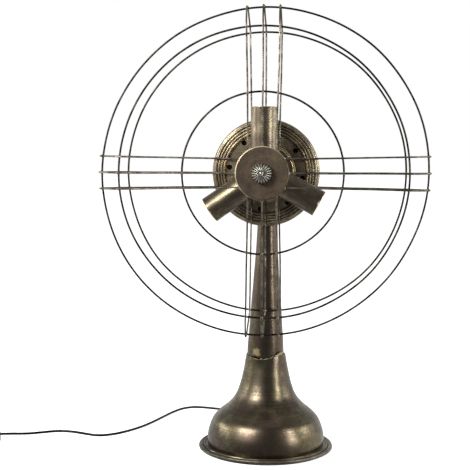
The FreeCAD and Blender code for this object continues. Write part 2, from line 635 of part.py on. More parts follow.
def rear_pan():
    """Ribbed pan: a flat floor with vent holes, concentric ridges and a skirt turned back."""
    ridge_w = (RIDGE_BAND_END_R - RIDGE_FOOT_R) / RIDGE_COUNT
    edges = [
        line((PAN_HOLE_R, PAN_FLOOR), (RIDGE_FOOT_R - SHEET_T, PAN_FLOOR)),
        line((RIDGE_FOOT_R - SHEET_T, PAN_FLOOR), (RIDGE_FOOT_R, RIDGE_LEVEL)),
    ]
    for i in range(RIDGE_COUNT):
        start = (RIDGE_FOOT_R + i * ridge_w, RIDGE_LEVEL)
        top = (start[0] + ridge_w / 2, RIDGE_LEVEL + RIDGE_H)
        edges.append(arc(start, top, (start[0] + ridge_w, RIDGE_LEVEL)))
    lean = math.sqrt(0.5)
    edge_mid = (PAN_R - PAN_EDGE_R, RIDGE_LEVEL - PAN_EDGE_R)
    edge_top = (edge_mid[0], RIDGE_LEVEL)
    edge_turn = (edge_mid[0] + PAN_EDGE_R * lean, edge_mid[1] + PAN_EDGE_R * lean)
    inner_r = PAN_R - SHEET_T
    corners = [
        (PAN_R, edge_mid[1]),
        (PAN_R, PAN_SKIRT_BACK),
        (inner_r, PAN_SKIRT_BACK),
        (inner_r, edge_mid[1]),
        (edge_mid[0], PAN_BAND_BACK),
        (RIDGE_FOOT_R + SHEET_T, PAN_BAND_BACK),
        (RIDGE_FOOT_R, PAN_FLOOR_BACK),
        (PAN_HOLE_R, PAN_FLOOR_BACK),
        (PAN_HOLE_R, PAN_FLOOR),
    ]
    edges.append(line((RIDGE_BAND_END_R, RIDGE_LEVEL), edge_top))
    edges.append(arc(edge_top, edge_turn, corners[0]))
    edges += [line(a, b) for a, b in zip(corners, corners[1:])]
    vent = Part.makeCylinder(VENT_R, PAN_FLOOR)
    vents = ring_of(vent, VENT_RING_R, VENT_COUNT, VENT_FIRST_DEG)
    return in_head(cut_all(spin(edges), vents + [boss_screws()]))


def rear_boss():
    """Stepped boss on the pan's floor, which the hub drum sits on."""
    outline = [
        (0, PAN_FLOOR),
        (BOSS_R, PAN_FLOOR),
        (BOSS_R, BOSS_STEP),
        (BOSS_NOSE_R, BOSS_STEP),
        (BOSS_NOSE_R, BOSS_FRONT),
        (0, BOSS_FRONT),
    ]
    boss = spin_polygon(outline)
    return in_head(cut_all(boss, lead_holes() + [tie_rod(), boss_screws()]))


def hub_drum():
    """Round drum between the boss and the front disc, with holes for the three sleeves."""
    drum = tube(DRUM_R, DRUM_R - DRUM_T, BOSS_FRONT, DRUM_FRONT)
    hole = Part.makeCylinder(SLEEVE_R, 2 * DRUM_R)
    holes = [on_sleeve_axis(hole, degrees) for degrees, _ in SLEEVES.values()]
    return in_head(cut_all(drum, holes))


def hub_disc():
    """Front disc of the hub, with a rounded edge."""
    front = DRUM_FRONT + HUB_DISC_T
    flat_r = HUB_DISC_R - HUB_DISC_EDGE_R
    lean = math.sqrt(0.5) * HUB_DISC_EDGE_R
    edge_mid = front - HUB_DISC_EDGE_R
    edges = [
        line((0, DRUM_FRONT), (HUB_DISC_R, DRUM_FRONT)),
        line((HUB_DISC_R, DRUM_FRONT), (HUB_DISC_R, edge_mid)),
        arc((HUB_DISC_R, edge_mid), (flat_r + lean, edge_mid + lean), (flat_r, front)),
        line((flat_r, front), (0, front)),
        line((0, front), (0, DRUM_FRONT)),
    ]
    return in_head(spin(edges).cut(tie_rod()))


def rear_cap_nut():
    """Domed nut on the tie rod, behind the housing."""
    prism = hex_prism(2 * CAP_NUT_R, CAP_NUT_H, HOUSING_BACK - CAP_NUT_H)
    dome_r = dome_radius(CAP_NUT_R, CAP_NUT_DOME_H)
    dome_foot = HOUSING_BACK - CAP_NUT_H
    ball = Part.makeSphere(dome_r, Vector(0, 0, dome_foot - CAP_NUT_DOME_H + dome_r))
    keep = Part.makeCylinder(CAP_NUT_R, CAP_NUT_DOME_H, Vector(0, 0, dome_foot - CAP_NUT_DOME_H))
    return in_head(prism.fuse(ball.common(keep)).cut(tie_rod()))


def head_terminal():
    """Terminal block in the housing, with the tie rod passing through it."""
    (x0, x1), (y0, y1), (z0, z1) = HEAD_TERMINAL_X, HEAD_TERMINAL_Y, HEAD_TERMINAL_FORWARD
    block = Part.makeBox(x1 - x0, y1 - y0, z1 - z0, Vector(x0, y0, z0))
    return in_head(block.cut(Part.makeCylinder(HEAD_TERMINAL_HOLE_R, z1)))


def finial_knob():
    """Fluted knob on the tie rod's front end: neck, fluted band and domed crown."""
    foot = DRUM_FRONT + HUB_DISC_T + KNOB_GAP
    band = foot + KNOB_NECK_H
    shoulder = band + KNOB_BAND_H
    crown = foot + KNOB_H
    crown_r = dome_radius(KNOB_CROWN_R, crown - shoulder)
    half_way = math.asin(KNOB_CROWN_R / crown_r) / 2
    crown_side = (crown_r * math.sin(half_way), crown - crown_r * (1 - math.cos(half_way)))
    edges = [
        line((0, foot), (KNOB_NECK_R, foot)),
        line((KNOB_NECK_R, foot), (KNOB_NECK_R, band)),
        line((KNOB_NECK_R, band), (KNOB_R, band)),
        line((KNOB_R, band), (KNOB_R, shoulder)),
        line((KNOB_R, shoulder), (KNOB_CROWN_R, shoulder)),
        arc((KNOB_CROWN_R, shoulder), crown_side, (0, crown)),
        line((0, crown), (0, foot)),
    ]
    flute = Part.makeCylinder(KNOB_FLUTE_R, KNOB_H, Vector(0, 0, foot))
    flutes = ring_of(flute, KNOB_FLUTE_RING_R, KNOB_FLUTES)
    bore = Part.makeCylinder(TIE_ROD_R + RUNNING_PLAY, KNOB_BORE_DEPTH, Vector(0, 0, foot))
    return in_head(cut_all(spin(edges), flutes + [bore]))


# --- lamp holders ----------------------------------------------------------------------------------
def sleeve(end):
    """Brass sleeve with a slightly rolled mouth."""
    wall = tube(SLEEVE_R, SLEEVE_R - SLEEVE_T, SLEEVE_FOOT, end)
    roll_mid = Vector(0, 0, end - SLEEVE_MOUTH_ROLL_R)
    return wall.fuse(Part.makeTorus(SLEEVE_R - SLEEVE_T / 2, SLEEVE_MOUTH_ROLL_R, roll_mid))


def holder_body(end):
    """Insulating barrel of the lamp holder, bored for the screw shell."""
    mouth = end - HOLDER_MOUTH_BACK
    barrel = Part.makeCylinder(HOLDER_R, mouth - HOLDER_FOOT, Vector(0, 0, HOLDER_FOOT))
    return barrel.cut(Part.makeCylinder(HOLDER_BORE_R, mouth, Vector(0, 0, HOLDER_FLOOR)))


def holder_contact():
    """Centre contact on the barrel's floor, with a raised button."""
    spring = Part.makeCylinder(CONTACT_R, CONTACT_H, Vector(0, 0, HOLDER_FLOOR))
    button_h = CONTACT_H + CONTACT_BUTTON_H
    return spring.fuse(Part.makeCylinder(CONTACT_BUTTON_R, button_h, Vector(0, 0, HOLDER_FLOOR)))


# --- cage ------------------------------------------------------------------------------------------
def arm_front_forward(radius):
    """Forward distance of the front wires at a radius, on their straight run."""
    at_hub = DRUM_FRONT - ARM_WIRE_R
    share = (radius - ARM_HUB_R) / (GUARD_RING_R - ARM_HUB_R)
    return at_hub + share * (ARM_FRONT_AT_GUARD - at_hub)


def arm_rear_forward(radius):
    """Forward distance of the rear wires at a radius, on their straight run."""
    at_boss = BOSS_STEP + ARM_WIRE_R
    share = (radius - ARM_BOSS_R) / (GUARD_RING_R - ARM_BOSS_R)
    return at_boss + share * (ARM_REAR_AT_GUARD - at_boss)


def cage_ring(radius, forward):
    """A ring of round wire, facing forward."""
    return in_head(Part.makeTorus(radius, RING_WIRE_R, Vector(0, 0, forward)))


def weld_gap():
    """Distance between the middles of two wires that are welded where they cross."""
    return RING_WIRE_R + ARM_WIRE_R - WELD


def arm_wire(side):
    """One cage wire along +X of the head's frame: out over the front, round the rim and back in."""
    spread = side * ARM_SPREAD_HUB
    tip_spread = side * ARM_SPREAD_TIP
    hub_x = math.sqrt(ARM_HUB_R**2 - spread**2)
    boss_x = math.sqrt(ARM_BOSS_R**2 - spread**2)
    rim_x = math.sqrt((OUTER_RING_R + weld_gap()) ** 2 - tip_spread**2)
    bend_x = GUARD_RING_R + ARM_BEND_START
    bend_spread = spread + (tip_spread - spread) * (bend_x - hub_x) / (rim_x - hub_x)
    run = [
        (hub_x, spread, arm_front_forward(hub_x)),
        (bend_x, bend_spread, arm_front_forward(bend_x)),
        (rim_x, tip_spread, OUTER_RING_FORWARD + ARM_TIP_HALF_W),
        (rim_x, tip_spread, OUTER_RING_FORWARD - ARM_TIP_HALF_W),
        (bend_x, bend_spread, arm_rear_forward(bend_x)),
        (boss_x, spread, arm_rear_forward(boss_x)),
    ]
    return bent_bar(run, ARM_WIRE_R, ARM_BEND_R)


def guard_wires(degrees):
    """Three wires side by side, which make one arm of the cage."""
    arm = Part.makeCompound([arm_wire(side) for side in (-1, 0, 1)])
    arm.rotate(ORIGIN, UP, degrees)
    return in_head(arm)


# --- switch on the cord ----------------------------------------------------------------------------
def switch_block(foot, top):
    """Outer block of the switch between two heights, with rounded upright corners."""
    length = SWITCH_NEAR_Y - SWITCH_FAR_Y
    corner = Vector(SWITCH_X - SWITCH_HALF_W, SWITCH_FAR_Y, foot)
    block = Part.makeBox(2 * SWITCH_HALF_W, length, top - foot, corner)
    upright = [edge for edge in block.Edges if edge.BoundBox.ZLength > (top - foot) / 2]
    return block.makeFillet(SWITCH_CORNER_R, upright)


def switch_hollow():
    """Space inside the switch."""
    corner = Vector(SWITCH_X - SWITCH_HALF_W + SWITCH_WALL, SWITCH_FAR_Y + SWITCH_WALL, SWITCH_WALL)
    width = 2 * (SWITCH_HALF_W - SWITCH_WALL)
    length = SWITCH_NEAR_Y - SWITCH_FAR_Y - 2 * SWITCH_WALL
    return Part.makeBox(width, length, SWITCH_TOP_Z - 2 * SWITCH_WALL, corner)


def switch_necks():
    """Short collars at both ends of the switch, where the cord goes in."""
    necks = []
    for y in (SWITCH_NEAR_Y, SWITCH_FAR_Y - SWITCH_NECK_L):
        start = Vector(SWITCH_X, y, SWITCH_Z)
        necks.append(Part.makeCylinder(SWITCH_NECK_R, SWITCH_NECK_L, start, Vector(0, 1, 0)))
    return Part.makeCompound(necks)


def switch_layer(foot, top):
    """A box wider and longer than the switch, between two heights."""
    length = SWITCH_NEAR_Y - SWITCH_FAR_Y
    corner = Vector(SWITCH_X - length, SWITCH_FAR_Y - length, foot)
    return Part.makeBox(2 * length, 3 * length, top - foot, corner)


def rocker_axle(radius, reach):
    """Axle stubs of the rocker, across the switch."""
    half = ROCKER_HALF_W + reach
    start = Vector(SWITCH_X - half, ROCKER_Y, ROCKER_AXLE_Z)
    return Part.makeCylinder(radius, 2 * half, start, Vector(1, 0, 0))


def switch_base():
    """Lower half of the switch."""
    block = switch_block(0, SWITCH_SPLIT_Z).cut(switch_hollow())
    return block.fuse(switch_necks().common(switch_layer(0, SWITCH_SPLIT_Z)))


def switch_cover():
    """Upper half of the switch, with a window and bearings for the rocker."""
    upper = switch_layer(SWITCH_SPLIT_Z, SWITCH_TOP_Z)
    block = switch_block(SWITCH_SPLIT_Z, SWITCH_TOP_Z).cut(switch_hollow())
    half_w = ROCKER_HALF_W + ROCKER_PLAY
    half_l = ROCKER_HALF_L + ROCKER_PLAY
    corner = Vector(SWITCH_X - half_w, ROCKER_Y - half_l, SWITCH_SPLIT_Z)
    window = Part.makeBox(2 * half_w, 2 * half_l, SWITCH_TOP_Z, corner)
    cheek_half_w = SWITCH_HALF_W - SWITCH_WALL
    cheek_h = SWITCH_TOP_Z - SWITCH_WALL - SWITCH_SPLIT_Z
    cheek_corner = Vector(SWITCH_X - cheek_half_w, ROCKER_Y - ROCKER_BEARING_L / 2, SWITCH_SPLIT_Z)
    cheeks = Part.makeBox(2 * cheek_half_w, ROCKER_BEARING_L, cheek_h, cheek_corner)
    cover = block.fuse(switch_necks().common(upper)).fuse(cheeks)
    bearing = rocker_axle(ROCKER_AXLE_R + RUNNING_PLAY, ROCKER_AXLE_REACH + ROCKER_PLAY)
    return cut_all(cover, [window, bearing])


def switch_rocker():
    """Rocker of the switch, resting with its far end down."""
    half_w, half_l = ROCKER_HALF_W, ROCKER_HALF_L
    top = ROCKER_AXLE_Z + ROCKER_RISE
    low = ROCKER_AXLE_Z - ROCKER_DEPTH
    corners = [
        (ROCKER_Y - half_l, top),
        (ROCKER_Y, top - ROCKER_DIP),
        (ROCKER_Y + half_l, top),
        (ROCKER_Y + half_l, top - ROCKER_EDGE),
        (ROCKER_Y + half_l / 2, low),
        (ROCKER_Y - half_l / 2, low),
        (ROCKER_Y - half_l, top - ROCKER_EDGE),
    ]
    outline = Part.makePolygon([Vector(SWITCH_X - half_w, y, z) for y, z in corners + corners[:1]])
    body = Part.Face(outline).extrude(Vector(2 * half_w, 0, 0))
    rocker = body.fuse(rocker_axle(ROCKER_AXLE_R, ROCKER_AXLE_REACH))
    rocker.rotate(Vector(SWITCH_X, ROCKER_Y, ROCKER_AXLE_Z), Vector(1, 0, 0), ROCKER_TILT_DEG)
    return rocker


# --- coil and plug ---------------------------------------------------------------------------------
def cord_coil():
    """The coiled rest of the cord, as one ring of its outer shape."""
    ring = tube(COIL_MID_R + COIL_HALF_W, COIL_MID_R - COIL_HALF_W, 0, COIL_H)
    ring.translate(Vector(COIL_X, COIL_Y, 0))
    return ring


def plug_pins():
    """Two round pins, rooted in the plug's body."""
    pins = []
    for x in (PLUG_X - PIN_HALF_PITCH, PLUG_X + PIN_HALF_PITCH):
        root = Vector(x, PLUG_FACE_Y - PIN_ROOT, PLUG_HALF_T)
        tip = Vector(x, PLUG_FACE_Y + PIN_L - PIN_R, PLUG_HALF_T)
        bar = Part.makeCylinder(PIN_R, tip.y - root.y, root, Vector(0, 1, 0))
        pins.append(bar.fuse(Part.makeSphere(PIN_R, tip)))
    return Part.makeCompound(pins)


def plug_body():
    """Flat moulded plug body, wide at the pins and narrow at the cord."""
    middle_y = (PLUG_BODY_Y + PLUG_FACE_Y) / 2
    corners = [
        (-PLUG_NARROW, PLUG_BODY_Y),
        (PLUG_NARROW, PLUG_BODY_Y),
        (PLUG_WIDE, middle_y),
        (PLUG_WIDE, PLUG_FACE_Y),
        (-PLUG_WIDE, PLUG_FACE_Y),
        (-PLUG_WIDE, middle_y),
    ]
    outline = Part.makePolygon([Vector(PLUG_X + x, y, 0) for x, y in corners + corners[:1]])
    body = Part.Face(outline).extrude(Vector(0, 0, 2 * PLUG_HALF_T))
    neck_start = Vector(PLUG_X, PLUG_NECK_Y, PLUG_HALF_T)
    neck = Part.makeCylinder(SWITCH_NECK_R, PLUG_BODY_Y - PLUG_NECK_Y, neck_start, Vector(0, 1, 0))
    return body.fuse(neck).cut(plug_pins())


# --- all parts -------------------------------------------------------------------------------------
def lamp_holder_parts():
    """The four pieces of each lamp holder, placed on their sleeve's axis."""
    parts = {}
    shell = tube(SHELL_R, SHELL_BORE_R, SHELL_FOOT, SHELL_TOP)
    for name, (degrees, end) in SLEEVES.items():
        pieces = {
            "socket_sleeve": sleeve(end),
            "holder_body": holder_body(end),
            "holder_shell": shell,
            "holder_contact": holder_contact(),
        }
        for piece, shape in pieces.items():
            parts[f"{piece}_{name}"] = in_head(on_sleeve_axis(shape, degrees))
    return parts


def all_parts():
    """Every node of the lamp by name."""
    parts = {
        "base_felt": felt_pad(),
        "bottom_plate": bottom_plate(),
        "plate_screws": Part.makeCompound(plate_screws()),
        "foot_ring": foot_ring(),
        "base_bell": base_bell(),
        "ballast_weight": ballast(),
        "cord_grommet": cord_grommet(),
        "base_terminal": base_terminal(),
        "base_cord_tail": base_cord_tail(),
        "neck_disc": neck_disc(),
        "stem_tube": spun_sheet(STEM_OUTLINE, SHEET_T),
        "stem_rod": stem_rod(),
        "rod_nuts": rod_nuts(),
        "stem_lead": bent_bar(STEM_LEAD_ROUTE, STEM_LEAD_R, STEM_LEAD_BEND_R),
        "stem_cap": stem_cap(),
        "tilt_fork": tilt_fork(),
        "tilt_bolt": tilt_bolt(),
        "tilt_hand_nut": tilt_hand_nut(),
        "tilt_tongue": tilt_tongue(),
        "tongue_screws": tongue_screws(),
        "mounting_plate": mounting_plate(),
        "rear_housing": rear_housing(),
        "rear_pan": rear_pan(),
        "rear_boss": rear_boss(),
        "boss_screws": in_head(boss_screws()),
        "hub_drum": hub_drum(),
        "hub_disc": hub_disc(),
        "tie_rod": in_head(tie_rod()),
        "rear_cap_nut": rear_cap_nut(),
        "head_terminal": head_terminal(),
        "holder_leads": in_head(sleeve_leads()),
        "finial_knob": finial_knob(),
        "outer_ring": cage_ring(OUTER_RING_R, OUTER_RING_FORWARD),
        "front_ring": cage_ring(GUARD_RING_R, ARM_FRONT_AT_GUARD - weld_gap()),
        "rear_ring": cage_ring(GUARD_RING_R, ARM_REAR_AT_GUARD - weld_gap()),
        "inner_ring": cage_ring(INNER_RING_R, arm_front_forward(INNER_RING_R) - weld_gap()),
        "cord_lead": cord_tube("cord_lead", LEAD_ROUTE),
        "cord_link": cord_tube("cord_link", LINK_ROUTE),
        "cord_coil": cord_coil(),
        "switch_base": switch_base(),
        "switch_cover": switch_cover(),
        "switch_rocker": switch_rocker(),
        "plug_body": plug_body(),
        "plug_pins": plug_pins(),
    }
    for name, degrees in ARMS.items():
        parts[f"guard_wires_{name}"] = guard_wires(degrees)
    parts.update(lamp_holder_parts())
    return parts


def main():
    os.makedirs("parts", exist_ok=True)
    for name, shape in all_parts().items():
        if not shape.isValid():
            print(f"{name}: the shape isn't valid")
        shape.exportStep(f"parts/{name}.step")
        print(f"{name}: {len(shape.Solids)} solids, {shape.Volume / 1000:.2f} cm3")


main()
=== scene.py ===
"""Looks of the fan-shaped table lamp, in metres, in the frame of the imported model.

The stand is round the vertical axis through the origin. The head faces -Y, and its axis is at the
height of the rings' middle. "Forward" is the distance towards -Y.
"""

import json
import math

import bmesh
import bpy
from mathutils import Matrix, Vector, noise


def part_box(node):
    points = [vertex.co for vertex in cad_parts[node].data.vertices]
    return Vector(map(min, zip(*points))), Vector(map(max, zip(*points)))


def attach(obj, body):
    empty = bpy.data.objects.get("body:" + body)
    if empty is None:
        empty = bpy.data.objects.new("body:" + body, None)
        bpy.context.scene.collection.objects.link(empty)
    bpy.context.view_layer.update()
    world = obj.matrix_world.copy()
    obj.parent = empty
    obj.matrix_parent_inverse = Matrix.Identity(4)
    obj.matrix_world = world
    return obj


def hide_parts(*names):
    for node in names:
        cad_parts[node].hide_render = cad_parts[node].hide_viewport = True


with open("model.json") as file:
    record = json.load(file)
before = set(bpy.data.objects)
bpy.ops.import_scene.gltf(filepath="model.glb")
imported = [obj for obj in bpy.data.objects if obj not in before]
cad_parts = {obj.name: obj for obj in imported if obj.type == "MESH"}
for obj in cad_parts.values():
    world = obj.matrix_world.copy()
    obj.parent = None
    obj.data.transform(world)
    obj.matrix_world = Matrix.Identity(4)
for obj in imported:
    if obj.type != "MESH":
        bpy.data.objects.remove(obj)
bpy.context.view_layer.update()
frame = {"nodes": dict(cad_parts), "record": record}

MM = 0.001
NOISE_SEED = 7  # vector noise would otherwise start from the clock
noise.seed_set(NOISE_SEED)


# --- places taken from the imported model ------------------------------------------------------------
def middle(node):
    """Middle of a node's box."""
    low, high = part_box(node)
    return (Vector(low) + Vector(high)) / 2


def half_size(node):
    """Half the size of a node's box."""
    low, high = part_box(node)
    return (Vector(high) - Vector(low)) / 2


HEAD_Z = middle("outer_ring").z
HEAD_MIDDLE = Vector((0, 0, HEAD_Z))


# --- shapes ----------------------------------------------------------------------------------------
def make_mesh(name, points, faces, body, slot, sharp_deg=35):
    """A smooth-shaded mesh object that rides on a body."""
    mesh = bpy.data.meshes.new(name)
    mesh.from_pydata([tuple(p) for p in points], [], faces)
    work = bmesh.new()
    work.from_mesh(mesh)
    bmesh.ops.recalc_face_normals(work, faces=work.faces)
    work.to_mesh(mesh)
    work.free()
    mesh.shade_smooth()
    mesh.set_sharp_from_angle(angle=math.radians(sharp_deg))
    piece = bpy.data.objects.new(name, mesh)
    bpy.context.collection.objects.link(piece)
    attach(piece, body)
    return piece


def write_values(piece, name, kind, values):
    """Stores one value or vector per point, for the materials to read."""
    layer = piece.data.attributes.new(name, kind, "POINT")
    flat = [part for value in values for part in value] if kind == "FLOAT_VECTOR" else values
    layer.data.foreach_set("vector" if kind == "FLOAT_VECTOR" else "value", flat)


def grid_faces(rows, columns, close_rows):
    """Faces of a grid whose columns wrap round, and whose rows may wrap too."""
    faces = []
    last = rows if close_rows else rows - 1
    for i in range(last):
        for j in range(columns):
            a, b = i * columns, (i + 1) % rows * columns
            k = (j + 1) % columns
            faces.append((a + j, a + k, b + k, b + j))
    return faces


def lathe(name, outline, steps, body, slot, place=None, shape=None, wear_and_painted_light=None, sharp_deg=35):
    """A closed outline of (radius, height) points turned about an axis.

    shape(radius, height, turn) moves a point within its half plane, and the function for wear and painted
    light, of (radius, height, turn), gives 1 where it is rubbed bare or painted with a highlight, 0 where
    it is plain and -1 where it is dirty or painted with shade.
    """
    place = place or Matrix.Identity(4)
    points, spun, worn_and_painted_light = [], [], []
    run = 0.0
    for i, (r0, h0) in enumerate(outline):
        if i:
            run += math.dist(outline[i - 1], (r0, h0))
        for j in range(steps):
            turn = math.tau * j / steps
            r, h = shape(r0, h0, turn) if shape else (r0, h0)
            points.append(place @ Vector((r * math.cos(turn), r * math.sin(turn), h)))
            spun.append((r0 * math.cos(turn), r0 * math.sin(turn), run))
            worn_and_painted_light.append(wear_and_painted_light(r0, h0, turn) if wear_and_painted_light else 0.0)
    faces = grid_faces(len(outline), steps, True)
    piece = make_mesh(name, points, faces, body, slot, sharp_deg)
    write_values(piece, "spun", "FLOAT_VECTOR", spun)
    write_values(piece, "wear_and_painted_light", "FLOAT", worn_and_painted_light)
    return piece


def sweep(points, radius_at, sides, closed):
    """Points and faces of a round tube along a line of points."""
    count = len(points)
    out, faces = [], []
    side = None
    for i, p in enumerate(points):
        before = points[(i - 1) % count] if closed or i else p
        after = points[(i + 1) % count] if closed or i < count - 1 else p
        along = (after - before).normalized()
        if side is None:
            side = along.orthogonal().normalized()
        side = (side - along * side.dot(along)).normalized()
        up = along.cross(side)
        r = radius_at(i)
        for j in range(sides):
            turn = math.tau * j / sides
            out.append(p + (side * math.cos(turn) + up * math.sin(turn)) * r)
    faces = grid_faces(count, sides, closed)
    if not closed:
        faces.append(tuple(range(sides)))
        faces.append(tuple((count - 1) * sides + j for j in range(sides)))
    return out, faces


def joined(parts):
    """Several (points, faces) pairs as one."""
    points, faces = [], []
    for some_points, some_faces in parts:
        first = len(points)
        points += some_points
        faces += [tuple(first + i for i in face) for face in some_faces]
    return points, faces


def dense(outline, step):
    """A closed outline with points added, so that no side is longer than a step."""
    out = []
    for a, b in zip(outline, outline[1:] + outline[:1]):
        parts = max(1, math.ceil(math.dist(a, b) / step))
        dx, dy = b[0] - a[0], b[1] - a[1]
        out += [(a[0] + dx * k / parts, a[1] + dy * k / parts) for k in range(parts)]
    return out


def smooth_run(knots, parts):
    """A smooth line through (x, y) knots, with some parts between each two."""
    out = []
    last = len(knots) - 1
    for i in range(last):
        p0, p1, p2, p3 = (Vector(knots[min(max(i + k, 0), last)]) for k in (-1, 0, 1, 2))
        for k in range(parts):
            t = k / parts
            a = 2 * p1 + (p2 - p0) * t
            b = (2 * p0 - 5 * p1 + 4 * p2 - p3) * t**2
            c = (3 * p1 - p0 - 3 * p2 + p3) * t**3
            out.append(tuple((a + b + c) / 2))
    return out + [tuple(knots[-1])]


def between(knots, x):
    """A value read off (x, value) knots, eased between them."""
    for (x0, v0), (x1, v1) in zip(knots, knots[1:]):
        if x <= x1:
            share = (1 - math.cos(math.pi * (x - x0) / (x1 - x0))) / 2
            return v0 + (v1 - v0) * share
    return knots[-1][1]


def from_front(turn):
    """A turn about the vertical axis as degrees from the front, positive towards +X."""
    degrees = math.degrees(turn) + 90
    return (degrees + 180) % 360 - 180


def bump_at(x, centre, width):
    """A smooth hill of height 1."""
    return math.exp(-(((x - centre) / width) ** 2))


def hills(x, places):
    """The sum of smooth hills, each given as its centre, width and height."""
    return sum(height * bump_at(x, centre, width) for centre, width, height in places)


def arc(mid, radius, first_deg, last_deg, parts):
    """Points of an arc about a middle, with both its ends."""
    out = []
    for k in range(parts + 1):
        turn = math.radians(first_deg + (last_deg - first_deg) * k / parts)
        out.append((mid[0] + radius * math.cos(turn), mid[1] + radius * math.sin(turn)))
    return out


# --- cage ------------------------------------------------------------------------------------------
ARM_TURNS = {"right": 0, "top": 90, "left": 180, "bottom": 270}
WIRE_R = 1.3 * MM
RING_WIRE_R = half_size("outer_ring").y
WELD_SINK = 0.3 * MM
WELD_GAP = RING_WIRE_R + WIRE_R - WELD_SINK
SPREAD_HUB, SPREAD_TIP = 21 * MM, 24.8 * MM
HUB_REACH, BOSS_REACH = 36.5 * MM, 40.5 * MM
RINGS = {
    name: (half_size(name).x - RING_WIRE_R, -middle(name).y)
    for name in ("outer_ring", "front_ring", "rear_ring", "inner_ring")
}
OUTER_R, OUTER_FORWARD = RINGS["outer_ring"]
GUARD_R = RINGS["front_ring"][0]
FRONT_AT_GUARD = RINGS["front_ring"][1] + WELD_GAP
REAR_AT_GUARD = RINGS["rear_ring"][1] + WELD_GAP
FRONT_AT_HUB = -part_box("hub_drum")[0][1] - WIRE_R
REAR_AT_BOSS = 36 * MM
BEND_X, BEND_R, TIP_HALF_W = GUARD_R + 5 * MM, 13 * MM, 12 * MM
BEND_PARTS, RUN_STEP = 6, 6 * MM
RING_STEPS, RING_SIDES, WIRE_SIDES = 240, 12, 10
WAVE_SIZE, WAVE_HEIGHT = 90 * MM, 0.9 * MM
STILL_R, WAVE_EASE = 55 * MM, 80 * MM
OVAL, LEFT_SHIFT = 2.2 * MM, 1.4 * MM
WELD_SIZE = Vector((2.3, 2.2, 2.3)) * MM
HUB_WELD_OUT, HUB_WELD_SCALE, BOSS_WELD_SCALE = 2.2 * MM, 1.35, 1.1
WELD_LUMPS = 0.35


def hand_bent(point):
    """A cage point moved a little: handmade wire wanders, and the outer ring is slightly oval.

    The ring is longer from the upper right to the lower left, and sits a little to the left. The
    hub stays put.
    """
    out = point - HEAD_MIDDLE
    reach = math.hypot(out.x, out.z)
    share = min(max((reach - STILL_R) / WAVE_EASE, 0), 1)
    moved = point + noise.noise_vector(point / WAVE_SIZE) * WAVE_HEIGHT * share
    outer = min(max((reach - GUARD_R) / (OUTER_R - GUARD_R), 0), 1)
    oval = OVAL * math.sin(2 * math.atan2(out.z, out.x)) * outer
    return moved + Vector((out.x, 0, out.z)) / reach * oval - Vector((LEFT_SHIFT * outer, 0, 0))


def head_point(right, up, forward, turn_deg=0.0):
    """A point of the head from its place right, up and forward, turned about the head's axis."""
    turn = math.radians(turn_deg)
    x = right * math.cos(turn) - up * math.sin(turn)
    z = right * math.sin(turn) + up * math.cos(turn)
    return Vector((x, -forward, HEAD_Z + z))


def wire_thickness(radius, salt):
    """A radius that varies by a few percent along a wire."""
    return lambda i: radius * (1 + 0.05 * noise.noise(Vector((i * 0.21, salt, 0.0))))


def cage_ring(name):
    """One ring of the cage."""
    radius, forward = RINGS[name]
    line = []
    for i in range(RING_STEPS):
        turn = 360 * i / RING_STEPS
        line.append(hand_bent(head_point(radius, 0, forward, turn)))
    points, faces = sweep(line, wire_thickness(RING_WIRE_R, radius), RING_SIDES, True)
    piece = make_mesh(f"{name}_wire", points, faces, "head", "cage_wire")
    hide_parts(name)
    return piece


def rounded(corners, radius, arc_parts, run_step):
    """A line through corners, each rounded with an arc, with points along its straight runs too."""
    line = [corners[0]]
    for i in range(1, len(corners) - 1):
        back = (corners[i - 1] - corners[i]).normalized()
        ahead = (corners[i + 1] - corners[i]).normalized()
        half = (math.pi - back.angle(ahead)) / 2
        reach = radius * math.tan(half)
        enter, leave = corners[i] + back * reach, corners[i] + ahead * reach
        centre = corners[i] + (back + ahead).normalized() * radius / math.cos(half)
        line = run_to(line, enter, run_step)
        a, b = enter - centre, leave - centre
        for k in range(1, arc_parts + 1):
            line.append(centre + a.slerp(b, k / arc_parts) * radius)
    return run_to(line, corners[-1], run_step)


def run_to(line, end, step):
    """A line of points carried on straight to an end."""
    start = line[-1]
    parts = max(1, round((end - start).length / step))
    return line + [start.lerp(end, (k + 1) / parts) for k in range(parts)]


def front_forward(x):
    """How far forward an arm's front run is at a distance along the arm."""
    return FRONT_AT_HUB + (x - HUB_REACH) / (GUARD_R - HUB_REACH) * (FRONT_AT_GUARD - FRONT_AT_HUB)


def rear_forward(x):
    """How far forward an arm's rear run is at a distance along the arm."""
    return REAR_AT_BOSS + (x - BOSS_REACH) / (GUARD_R - BOSS_REACH) * (REAR_AT_GUARD - REAR_AT_BOSS)


def arm_foot(side, reach):
    """Where a wire starts along its arm, on a circle round the head's axis."""
    return math.sqrt(reach**2 - (side * SPREAD_HUB) ** 2)


def arm_spread(side, x):
    """Sideways place of an arm's wire at a distance along the arm."""
    hub_x = arm_foot(side, HUB_REACH)
    rim_x = arm_rim(side)
    return side * (SPREAD_HUB + (SPREAD_TIP - SPREAD_HUB) * (x - hub_x) / (rim_x - hub_x))


def arm_rim(side):
    """How far out along its arm a wire reaches."""
    return math.sqrt((OUTER_R + WELD_GAP) ** 2 - (side * SPREAD_TIP) ** 2)


def arm_corners(side, turn):
    """Corners of one wire: out over the front, round the rim and back in."""
    hub_x, boss_x = arm_foot(side, HUB_REACH), arm_foot(side, BOSS_REACH)
    rim_x = arm_rim(side)
    run = [
        (hub_x, front_forward(hub_x)),
        (BEND_X, front_forward(BEND_X)),
        (rim_x, OUTER_FORWARD + TIP_HALF_W),
        (rim_x, OUTER_FORWARD - TIP_HALF_W),
        (BEND_X, rear_forward(BEND_X)),
        (boss_x, rear_forward(boss_x)),
    ]
    return [head_point(x, arm_spread(side, x), forward, turn) for x, forward in run]


